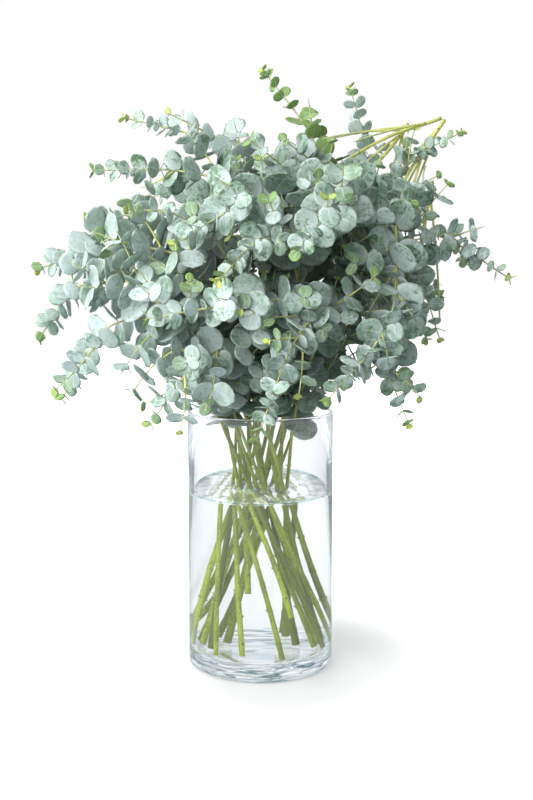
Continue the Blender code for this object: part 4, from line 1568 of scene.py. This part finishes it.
class Bench:
    """A node tree with short ways to add and join nodes."""

    def __init__(self, tree: NodeTree) -> None:
        """Works on one tree."""
        self.tree = tree

    def node(self, kind: str, **settings: object) -> Node:
        """Adds a node and sets its properties.

        Args:
            kind: the node's type.
            **settings: its properties.

        Returns:
            The node.
        """
        made = self.tree.nodes.new(kind)
        for key, value in settings.items():
            setattr(made, key, value)
        return made

    def feed(self, socket: NodeSocket, value: object) -> None:
        """Joins an output to an input, or sets the input's own value.

        Args:
            socket: the input.
            value: an output socket, a number or a colour.
        """
        if isinstance(value, NodeSocket):
            self.tree.links.new(value, socket)
        elif isinstance(value, tuple) and len(value) == 3 and socket.type == "RGBA":
            socket.default_value = (*value, 1.0)
        else:
            socket.default_value = value

    def math(self, operation: str, *values: object, clamp: bool = False) -> NodeSocket:
        """A math node's result.

        Args:
            operation: what it does.
            *values: its inputs.
            clamp: whether the result is kept within 0 and 1.

        Returns:
            The result.
        """
        made = self.node("ShaderNodeMath", operation=operation, use_clamp=clamp)
        for socket, value in zip(made.inputs, values):
            self.feed(socket, value)
        return made.outputs[0]

    def times(self, first: object, second: object) -> NodeSocket:
        """The product of two values."""
        return self.math("MULTIPLY", first, second)

    def plus(self, first: object, second: object) -> NodeSocket:
        """The sum of two values."""
        return self.math("ADD", first, second)

    def minus(self, first: object, second: object) -> NodeSocket:
        """What is left of a value after a second one."""
        return self.math("SUBTRACT", first, second)

    def rest(self, value: object) -> NodeSocket:
        """What is left of 1 after a value."""
        return self.minus(1.0, value)

    def ramp(self, value: object, low: float, high: float) -> NodeSocket:
        """0 where a value is at most low, 1 where it is at least high, and smooth between.

        Args:
            value: the value.
            low: where it starts.
            high: where it ends.

        Returns:
            The result.
        """
        made = self.node("ShaderNodeMapRange", interpolation_type="SMOOTHSTEP", clamp=True)
        self.feed(made.inputs["Value"], value)
        made.inputs["From Min"].default_value = low
        made.inputs["From Max"].default_value = high
        return made.outputs["Result"]

    def blend(self, share: object, first: object, second: object) -> NodeSocket:
        """A mix of two colours.

        Args:
            share: how much of the second one.
            first: the first colour.
            second: the second colour.

        Returns:
            The mix.
        """
        made = self.node("ShaderNodeMix", data_type="RGBA", clamp_factor=True)
        self.feed(made.inputs[0], share)
        self.feed(made.inputs[6], first)
        self.feed(made.inputs[7], second)
        return made.outputs[2]

    def noise(self, where: object, scale: object, detail: float, rough: float = 0.5) -> NodeSocket:
        """Noise about 0.5.

        Args:
            where: the place that it is read at.
            scale: how fine it is, per metre.
            detail: how many finer layers it has.
            rough: how strong those are.

        Returns:
            The noise.
        """
        made = self.node("ShaderNodeTexNoise")
        self.feed(made.inputs["Vector"], where)
        self.feed(made.inputs["Scale"], scale)
        made.inputs["Detail"].default_value = detail
        made.inputs["Roughness"].default_value = rough
        return made.outputs["Fac"]

    def here(self) -> NodeSocket:
        """The place on the object, in metres."""
        return self.node("ShaderNodeTexCoord").outputs["Object"]

    def stretched(self, scale: tuple) -> NodeSocket:
        """The place on the object with each axis scaled."""
        made = self.node("ShaderNodeMapping")
        made.inputs["Scale"].default_value = scale
        self.feed(made.inputs["Vector"], self.here())
        return made.outputs["Vector"]

    def split(self, vector: object) -> tuple[NodeSocket, ...]:
        """A vector's three parts."""
        made = self.node("ShaderNodeSeparateXYZ")
        self.feed(made.inputs[0], vector)
        return tuple(made.outputs)

    def distance(self, first: object, second: object = (0.0, 0.0, 0.0)) -> NodeSocket:
        """How far a place is from another."""
        made = self.node("ShaderNodeVectorMath", operation="DISTANCE")
        self.feed(made.inputs[0], first)
        self.feed(made.inputs[1], second)
        return made.outputs["Value"]

    def attribute(self, name: str) -> tuple[NodeSocket, ...]:
        """The three numbers that an object holds at each point under a name."""
        return self.split(self.node("ShaderNodeAttribute", attribute_name=name).outputs["Vector"])

    def bump(self, shader: Node, height: object, distance: float, strength: float = 1.0) -> None:
        """Gives a shader a relief.

        Args:
            shader: the Principled shader.
            height: how high the surface is at each place.
            distance: how far a height of 1 is, in metres.
            strength: how much of the relief shows.
        """
        made = self.node("ShaderNodeBump")
        made.inputs["Strength"].default_value = strength
        made.inputs["Distance"].default_value = distance
        self.feed(made.inputs["Height"], height)
        self.feed(shader.inputs["Normal"], made.outputs["Normal"])

    def wear(self, bloom: NodeTree, where: object, patch: float, speck: float) -> NodeOutputs:
        """Places the group of the worn bloom.

        Args:
            bloom: the group.
            where: the place that it is read at.
            patch: how fine its patches are, per metre.
            speck: how fine its specks are, per metre.

        Returns:
            The group's outputs.
        """
        made = self.node("ShaderNodeGroup", node_tree=bloom)
        self.feed(made.inputs["Place"], where)
        made.inputs["Patch Scale"].default_value = patch
        made.inputs["Speck Scale"].default_value = speck
        return made.outputs


def new_material(name: str) -> tuple[Material, Bench, Node]:
    """A material with its Principled shader.

    Args:
        name: the material's name.

    Returns:
        The material, a bench on its tree, and the shader.
    """
    material = bpy.data.materials.new(name)
    material.use_nodes = True
    bench = Bench(material.node_tree)
    return material, bench, material.node_tree.nodes["Principled BSDF"]


def bloom_group() -> NodeTree:
    """The worn waxy bloom of leaves and stems, built once and placed in each material.

    Returns:
        A group with a place and two scales in, and a mask of worn patches, one of specks and a height out.
    """
    tree = bpy.data.node_groups.new("worn_bloom", "ShaderNodeTree")
    tree.interface.new_socket("Place", in_out="INPUT", socket_type="NodeSocketVector")
    for name in ("Patch Scale", "Speck Scale"):
        tree.interface.new_socket(name, in_out="INPUT", socket_type="NodeSocketFloat")
    for name in ("Worn", "Specks", "Height"):
        tree.interface.new_socket(name, in_out="OUTPUT", socket_type="NodeSocketFloat")
    bench = Bench(tree)
    given = bench.node("NodeGroupInput").outputs
    out = bench.node("NodeGroupOutput").inputs
    patches = bench.noise(given["Place"], given["Patch Scale"], 1.0)
    specks = bench.noise(given["Place"], given["Speck Scale"], 3.0, 0.65)
    both = bench.plus(bench.times(patches, 0.45), bench.times(specks, 0.55))
    bench.feed(out["Worn"], bench.ramp(both, 0.46, 0.54))
    bench.feed(out["Specks"], bench.ramp(specks, 0.57, 0.63))
    bench.feed(out["Height"], bench.plus(patches, bench.times(specks, 0.3)))
    return tree


@dataclass(frozen=True)
class LeafFinish:
    """Blue-green leaves with a worn pale bloom, white veins from the joint and a thin yellow margin.

    within is painted shade: a dark green laid over the leaves deep in the bunch, full up to deep_radius from
    the bunch's middle and gone at open_radius.
    """

    bloom: tuple = (0.55, 0.655, 0.645)
    worn: tuple = (0.09, 0.18, 0.09)
    grey_green: tuple = (0.36, 0.485, 0.36)
    green: tuple = (0.23, 0.37, 0.12)
    young: tuple = (0.54, 0.62, 0.13)
    pale: tuple = (0.63, 0.72, 0.715)
    vein: tuple = (0.80, 0.87, 0.82)
    margin: tuple = (0.60, 0.62, 0.34)
    deep: tuple = (0.24, 0.35, 0.32)
    # Painted shade: within, deep_radius and open_radius darken the leaves deep in the bunch.
    within: tuple = (0.05, 0.095, 0.065)
    deep_radius: float = 70 * MM
    open_radius: float = 140 * MM
    roughness: float = 0.55
    gloss: float = 0.35
    relief: float = 0.25 * MM

    def build(self, bloom: NodeTree) -> Material:
        """Makes the material.

        Args:
            bloom: the group of the worn bloom.

        Returns:
            The material.
        """
        material, bench, shader = new_material("eucalyptus_leaf")
        across, along, width = bench.attribute("spot")
        age, tint, pale = bench.attribute("mark")
        side = bench.math("ABSOLUTE", across)
        wear = bench.wear(bloom, bench.here(), 95.0, 330.0)
        colour = self.skin(bench, wear, along, tint, pale)
        colour = bench.blend(bench.ramp(age, 0.1, 0.6), colour, self.green)
        colour = bench.blend(bench.ramp(age, 0.62, 0.95), colour, self.young)
        veins = self.veins(bench, side, along, width)
        vein_share = bench.plus(0.25, bench.times(bench.rest(age), 0.35))
        colour = bench.blend(bench.times(veins, vein_share), colour, self.vein)
        colour = bench.blend(bench.times(bench.ramp(side, 0.92, 0.99), 0.7), colour, self.margin)
        # Painted shade: leaves near the bunch's middle darken towards within, as shade deep in the bunch
        # would.
        apart = bench.distance(bench.here(), CROWN_CORE + Vector((10, 0, 55)) * MM)
        inside = bench.rest(bench.ramp(apart, self.deep_radius, self.open_radius))
        colour = bench.blend(bench.times(inside, 0.6), colour, self.within)
        bench.feed(shader.inputs["Base Color"], colour)
        bench.feed(shader.inputs["Roughness"], bench.plus(self.roughness, bench.times(wear["Worn"], -0.1)))
        bench.bump(shader, bench.plus(bench.times(veins, 0.8), wear["Height"]), self.relief, 0.25)
        shader.inputs["Specular IOR Level"].default_value = self.gloss
        return material

    def skin(self, bench: Bench, wear: NodeOutputs, along: object, tint: object, pale: object) -> NodeSocket:
        """A full leaf's colour without its veins: bloom, worn off in patches and specks away from the joint.

        Args:
            bench: the material's bench.
            wear: the outputs of the worn bloom.
            along: distance from the root, 0 to 1.
            tint: how light the leaf is.
            pale: how thick its bloom is.

        Returns:
            The colour.
        """
        fresh = bench.times(bench.rest(pale), bench.minus(1.1, tint))
        outer = bench.ramp(along, 0.06, 0.42)
        colour = bench.blend(bench.ramp(tint, 0.1, 0.8), self.deep, self.bloom)
        colour = bench.blend(bench.times(outer, bench.times(fresh, 0.7)), colour, self.grey_green)
        much = bench.math("ADD", 0.2, bench.times(fresh, 0.75), clamp=True)
        much = bench.times(much, bench.plus(0.25, bench.times(outer, 0.75)))
        colour = bench.blend(bench.times(wear["Worn"], much), colour, self.worn)
        specks = bench.times(wear["Specks"], bench.plus(0.3, bench.times(wear["Worn"], 0.6)))
        colour = bench.blend(bench.times(specks, bench.plus(much, 0.25)), colour, self.worn)
        dusted = bench.times(bench.rest(bench.ramp(along, 0.08, 0.6)), 0.45)
        return bench.blend(bench.math("MAXIMUM", dusted, bench.times(pale, 0.7)), colour, self.pale)

    def veins(self, bench: Bench, side: object, along: object, width: object) -> NodeSocket:
        """The midrib, side veins and the white spot at the joint.

        Args:
            bench: the material's bench.
            side: distance from the midrib, 0 to 1.
            along: distance from the root, 0 to 1.
            width: the leaf's width in millimetres.

        Returns:
            The mask of the veins.
        """
        off = bench.times(side, bench.times(width, 0.5))
        rib_half = bench.plus(0.12, bench.times(bench.rest(along), 0.26))
        rib = bench.rest(bench.ramp(bench.math("DIVIDE", off, rib_half), 0.6, 1.5))
        rib = bench.times(rib, bench.rest(bench.ramp(along, 0.55, 1.0)))
        slant = bench.minus(along, bench.times(side, 0.42))
        wave = bench.math("ABSOLUTE", bench.math("SINE", bench.times(slant, 19.0)))
        lateral = bench.rest(bench.ramp(wave, 0.0, 0.2))
        lateral = bench.times(lateral, bench.minus(0.34, bench.times(side, 0.3)))
        spot = bench.rest(bench.ramp(along, 0.03, 0.17))
        return bench.math("MAXIMUM", bench.math("MAXIMUM", rib, lateral), bench.times(spot, 0.8))


@dataclass(frozen=True)
class StemFinish:
    """Green stems: lime under water, yellow-green above it and pale with bloom towards the tip."""

    lime: tuple = (0.58, 0.72, 0.06)
    olive: tuple = (0.16, 0.20, 0.03)
    above: tuple = (0.36, 0.43, 0.10)
    laid: tuple = (0.66, 0.68, 0.22)
    tip: tuple = (0.56, 0.60, 0.30)
    bark: tuple = (0.16, 0.095, 0.035)
    roughness: float = 0.45
    gloss: float = 0.4
    relief: float = 0.2 * MM

    def build(self, bloom: NodeTree) -> Material:
        """Makes the material, where a laid branch's stem holds a height of 1 along its whole length.

        Args:
            bloom: the group of the worn bloom.

        Returns:
            The material.
        """
        material, bench, shader = new_material("eucalyptus_stem")
        share, height, scar = bench.attribute("spot")
        tint, thick, _ = bench.attribute("mark")
        wear = bench.wear(bloom, bench.stretched((1.0, 1.0, 0.22)), 110.0, 1500.0)
        laid = bench.ramp(height, 0.9, 1.0)
        wet = bench.blend(bench.times(bench.math("POWER", tint, 1.3), 0.95), self.lime, self.olive)
        colour = bench.blend(bench.ramp(height, 0.13, 0.2), wet, self.above)
        colour = bench.blend(laid, colour, self.laid)
        colour = bench.blend(bench.ramp(share, 0.35, 0.75), colour, self.tip)
        stained = bench.minus(0.62, bench.times(laid, 0.34))
        colour = bench.blend(bench.times(wear["Worn"], stained), colour, self.olive)
        colour = bench.blend(bench.times(wear["Specks"], bench.times(stained, 0.7)), colour, self.bark)
        ringed = bench.times(bench.rest(bench.ramp(scar, 0.1, 0.9)), bench.ramp(thick, 0.5, 0.9))
        colour = bench.blend(bench.times(ringed, 0.6), colour, self.bark)
        bench.feed(shader.inputs["Base Color"], colour)
        bench.bump(shader, wear["Height"], self.relief, 0.3)
        shader.inputs["Roughness"].default_value = self.roughness
        shader.inputs["Specular IOR Level"].default_value = self.gloss
        return material


@dataclass(frozen=True)
class ClearFinish:
    """A clear body that light goes through, with a painted sheen that glows. Rays towards the lamps go
    straight through it.
    """

    name: str
    tint: tuple
    shadow: tuple
    index: float
    # The sheen and its colour are painted light: a glow where each body says.
    painted_sheen: float
    painted_sheen_colour: tuple
    relief: float

    def surface(self, bench: Bench) -> tuple[NodeSocket, NodeSocket, NodeSocket]:
        """Each clear body's colour with its painted shade, share of its painted sheen and height of the
        relief.
        """
        raise NotImplementedError

    def build(self) -> Material:
        """Makes the material.

        Returns:
            The material.
        """
        material, bench, shader = new_material(self.name)
        shader.inputs["Base Color"].default_value = (*self.tint, 1.0)
        shader.inputs["Roughness"].default_value = 0.0
        shader.inputs["Metallic"].default_value = 0.0
        shader.inputs["IOR"].default_value = self.index
        shader.inputs["Transmission Weight"].default_value = 1.0
        shader.inputs["Emission Strength"].default_value = 1.0
        colour, shine, height = self.surface(bench)
        bench.feed(shader.inputs["Base Color"], colour)
        # Painted light: the body glows where its sheen is.
        glow = bench.blend(bench.times(shine, self.painted_sheen), (0.0, 0.0, 0.0), self.painted_sheen_colour)
        bench.feed(shader.inputs["Emission Color"], glow)
        bench.bump(shader, height, self.relief)
        clear = bench.node("ShaderNodeBsdfTransparent")
        clear.inputs["Color"].default_value = (*self.shadow, 1.0)
        path = bench.node("ShaderNodeLightPath")
        mix = bench.node("ShaderNodeMixShader")
        bench.feed(mix.inputs[0], path.outputs["Is Shadow Ray"])
        bench.feed(mix.inputs[1], shader.outputs["BSDF"])
        bench.feed(mix.inputs[2], clear.outputs["BSDF"])
        out = material.node_tree.nodes["Material Output"]
        bench.feed(out.inputs["Surface"], mix.outputs["Shader"])
        return material


@dataclass(frozen=True)
class GlassFinish(ClearFinish):
    """The vase's glass: wavy at its foot as pressed glass is, painted shade at foot and rim, a painted sheen
    on its sides.
    """

    name: str = "clear_glass"
    tint: tuple = (0.97, 0.98, 0.99)
    shadow: tuple = (0.95, 0.96, 0.965)
    index: float = 1.5
    # A painted sheen glows on the glass's sides.
    painted_sheen: float = 0.08
    painted_sheen_colour: tuple = (0.85, 0.92, 0.97)
    relief: float = 1.5 * MM
    # The streak colour and its share at the rim are painted shade.
    shade_streak: tuple = (0.13, 0.21, 0.23)
    rim_shade: float = 0.3

    def surface(self, bench: Bench) -> tuple[NodeSocket, NodeSocket, NodeSocket]:
        """The painted shade of the foot's streaks and the rim, the painted sheen of the sides and the waves
        of the foot.

        Args:
            bench: the material's bench.

        Returns:
            The colour with its painted shade, the share of the painted sheen and the height of the relief.
        """
        z = bench.split(bench.here())[2]
        foot = bench.rest(bench.ramp(z, FLOOR - 3 * MM, FLOOR + 5 * MM))
        waves = bench.times(bench.noise(bench.stretched((0.2, 0.2, 1.35)), 130.0, 1.0), foot)
        # Painted shade: dark streaks in the foot's outer wall, and a grey band at the rim.
        shade_streaks = bench.ramp(bench.noise(bench.stretched((0.12, 0.12, 1.0)), 430.0, 2.0), 0.51, 0.57)
        from_axis = bench.distance(bench.stretched((1.0, 1.0, 0.0)))
        wall = bench.ramp(from_axis, VASE_RADIUS - 2.5 * MM, VASE_RADIUS - 1.5 * MM)
        shade_streaks = bench.times(bench.times(shade_streaks, foot), wall)
        top = bench.ramp(z, VASE_HEIGHT - 2.6 * MM, VASE_HEIGHT - 1.4 * MM)
        shade_streaks = bench.math("MAXIMUM", shade_streaks, bench.times(top, self.rim_shade))
        # Painted sheen: the sides glow a little where they turn from the view, below the rim.
        facing = bench.node("ShaderNodeLayerWeight").outputs["Facing"]
        sides = bench.minus(bench.ramp(facing, 0.5, 0.7), bench.ramp(facing, 0.9, 0.97))
        below_rim = bench.rest(bench.ramp(z, VASE_HEIGHT - 9 * MM, VASE_HEIGHT - 5 * MM))
        return bench.blend(shade_streaks, self.tint, self.shade_streak), bench.times(sides, below_rim), waves


@dataclass(frozen=True)
class WaterFinish(ClearFinish):
    """The water: a painted dark line of shade where its edge climbs the glass, and a rippled surface with a
    painted sheen.
    """

    name: str = "water"
    tint: tuple = (0.985, 0.995, 0.99)
    shadow: tuple = (0.985, 0.995, 0.99)
    index: float = 1.333
    # A painted sheen glows on the water's surface.
    painted_sheen: float = 0.16
    painted_sheen_colour: tuple = (0.9, 0.96, 0.97)
    relief: float = 0.8 * MM
    # edge is a painted dark line of shade where the water climbs the glass.
    edge: tuple = (0.3, 0.45, 0.45)

    def surface(self, bench: Bench) -> tuple[NodeSocket, NodeSocket, NodeSocket]:
        """The painted dark line of the edge, and the painted sheen and the ripples of the surface.

        Args:
            bench: the material's bench.

        Returns:
            The colour with its painted dark line, the share of the painted sheen and the height of the
            relief.
        """
        z = bench.split(bench.here())[2]
        # Painted shade: the meniscus that climbs the glass is darkened into a line.
        line = bench.ramp(z, WATER_LEVEL + 0.15 * MM, WATER_LEVEL + 0.4 * MM)
        top = bench.ramp(z, WATER_LEVEL - 0.3 * MM, WATER_LEVEL - 0.1 * MM)
        ripples = bench.noise(bench.here(), 95.0, 1.0)
        # Painted reflection: the surface glows, more on the ripples' crests.
        painted_glint = bench.times(top, bench.plus(0.5, bench.ramp(ripples, 0.45, 0.6)))
        return bench.blend(line, self.tint, self.edge), painted_glint, bench.times(ripples, top)


# The studio


@dataclass(frozen=True)
class Lamp:
    """A soft square lamp that looks at the crown: where it is, its side in metres and its power in watts."""

    name: str
    place: tuple
    size: float
    power: float

    def build(self) -> None:
        """Adds the lamp, which neither the glass nor the water mirrors."""
        data = bpy.data.lights.new(self.name, "AREA")
        data.shape, data.size, data.energy = "SQUARE", self.size, self.power
        lamp = new_object(self.name, data)
        lamp.location = self.place
        lamp.rotation_euler = (CROWN_CORE - Vector(self.place)).to_track_quat("-Z", "Y").to_euler()
        lamp.visible_glossy = lamp.visible_transmission = False


@dataclass(frozen=True)
class Studio:
    """A pale floor, soft light and a camera at the photograph's viewing angle.

    The floor and the surroundings have one colour to the camera, and others where the glass or the water
    mirrors or bends them.
    """

    camera_at: tuple = (5.1 * MM, -910 * MM, 330 * MM)
    camera_down: float = math.radians(6.85)
    lens: float = 50.0
    film: float = 36.0
    lamps: tuple = (
        Lamp("key", (-0.75, -0.95, 1.05), 1.3, 21.5),
        Lamp("side", (-1.0, -0.3, 0.5), 1.3, 8.5),
        Lamp("low", (-0.4, -1.1, 0.16), 1.2, 9.0),
        Lamp("behind", (-0.35, 0.9, 0.2), 0.5, 5.0),
        Lamp("back", (-0.2, 1.3, 1.2), 1.0, 12.0),
    )
    floor_reach: float = 4.0
    floor_drop: float = 0.2 * MM
    floor_lit: tuple = (0.9, 0.9, 0.9)
    floor_seen: tuple = (0.75, 0.745, 0.74)
    floor_mirrored: tuple = (0.3, 0.34, 0.36)
    floor_through: tuple = (0.43, 0.43, 0.44)
    sky: tuple = (0.95, 0.965, 0.99)
    sky_seen: tuple = (1.0, 1.0, 1.0)
    sky_low: tuple = (0.62, 0.70, 0.74)
    sky_low_mirrored: tuple = (0.2, 0.26, 0.3)
    wall_behind: tuple = (0.36, 0.47, 0.52)
    most_bounces: int = 28
    most_mirrored: int = 20

    def build(self) -> None:
        """Sets up everything around the object."""
        self.add_camera()
        self.add_floor()
        self.add_world()
        for lamp in self.lamps:
            lamp.build()
        bpy.context.scene.view_settings.view_transform = "Standard"
        paths = bpy.context.scene.cycles
        paths.max_bounces = paths.transmission_bounces = self.most_bounces
        paths.glossy_bounces = self.most_mirrored

    def add_camera(self) -> None:
        """Adds the camera and makes it the scene's."""
        data = bpy.data.cameras.new("camera")
        data.lens, data.sensor_width = self.lens, self.film
        camera = new_object("camera", data)
        camera.location = self.camera_at
        camera.rotation_euler = (math.pi / 2 - self.camera_down, 0, 0)
        bpy.context.scene.camera = camera

    def add_floor(self) -> None:
        """Adds the floor, no part of the object: grey near the vase, and glowing white further out."""
        mesh = bpy.data.meshes.new("floor")
        reach = self.floor_reach
        corners = [(-reach, -reach, 0), (reach, -reach, 0), (reach, reach, 0), (-reach, reach, 0)]
        mesh.from_pydata(corners, [], [(0, 1, 2, 3)])
        material, bench, shader = new_material("pale_floor")
        shader.inputs["Roughness"].default_value = 0.8
        shader.inputs["Specular IOR Level"].default_value = 0.1
        shader.inputs["Emission Color"].default_value = (1.0, 1.0, 1.0, 1.0)
        away = bench.distance(bench.here())
        path = bench.node("ShaderNodeLightPath").outputs
        seen, through = path["Is Camera Ray"], path["Is Transmission Ray"]
        colour = bench.blend(seen, self.floor_lit, self.floor_seen)
        colour = bench.blend(path["Is Reflection Ray"], colour, self.floor_mirrored)
        bench.feed(shader.inputs["Base Color"], bench.blend(through, colour, self.floor_through))
        # Painted light: the floor glows, white to the camera away from the vase, and where seen through the
        # glass or the water, most under the vase.
        glow = bench.times(bench.ramp(away, 0.09, 0.26), seen)
        under = bench.minus(0.85, bench.times(bench.ramp(away, 0.05, 0.07), 0.43))
        bench.feed(shader.inputs["Emission Strength"], bench.plus(glow, bench.times(through, under)))
        mesh.materials.append(material)
        floor = new_object("floor", mesh)
        floor.location = (0, 0, -self.floor_drop)
        floor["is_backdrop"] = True

    def add_world(self) -> None:
        """Adds the surroundings: white to the camera, a little darker low in front and in a band behind."""
        world = bpy.data.worlds.new("studio")
        world.use_nodes = True
        bench = Bench(world.node_tree)
        background = world.node_tree.nodes["Background"]
        _, y, z = bench.split(bench.node("ShaderNodeTexCoord").outputs["Generated"])
        path = bench.node("ShaderNodeLightPath").outputs
        front = bench.ramp(bench.times(y, -1.0), 0.15, 0.9)
        low = bench.rest(bench.ramp(z, 0.35, 0.85))
        shade = bench.blend(path["Is Reflection Ray"], self.sky_low, self.sky_low_mirrored)
        colour = bench.blend(bench.times(front, low), self.sky, shade)
        wall = bench.times(bench.ramp(z, 0.22, 0.34), bench.ramp(y, 0.2, 0.6))
        wall = bench.times(wall, bench.rest(bench.ramp(z, 0.42, 0.62)))
        colour = bench.blend(bench.times(wall, 0.8), colour, self.wall_behind)
        bench.feed(background.inputs["Color"], bench.blend(path["Is Camera Ray"], colour, self.sky_seen))
        bench.feed(background.inputs["Strength"], bench.rest(bench.times(path["Is Diffuse Ray"], 0.33)))
        bpy.context.scene.world = world


def main() -> None:
    """Builds the pieces in order."""
    logging.basicConfig(level=logging.INFO, format="%(message)s")
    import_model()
    cad_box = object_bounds()
    planned = BunchPlan(Vector(cad_box[0]), Vector(cad_box[1])).build()
    bloom = bloom_group()
    materials = [StemFinish().build(bloom), LeafFinish().build(bloom)]
    grids = [(least, LeafGrid.of(rows, columns)) for least, rows, columns in LEAF_GRIDS]
    total = 0
    for one in planned:
        piece = BranchPiece(one).build(materials, grids)
        total += len(piece.data.polygons)
        LOG.info("%s: %d faces", piece.name, len(piece.data.polygons))
    shape = VaseShape()
    glass = shape.glass(GlassFinish().build())
    water = shape.water(WaterFinish().build(), [one.stem for one in planned if one.branch.ring is not None])
    LOG.info("%s, %s and %d faces of foliage", glass.name, water.name, total)
    Studio().build()


if __name__ == "__main__":
    main()
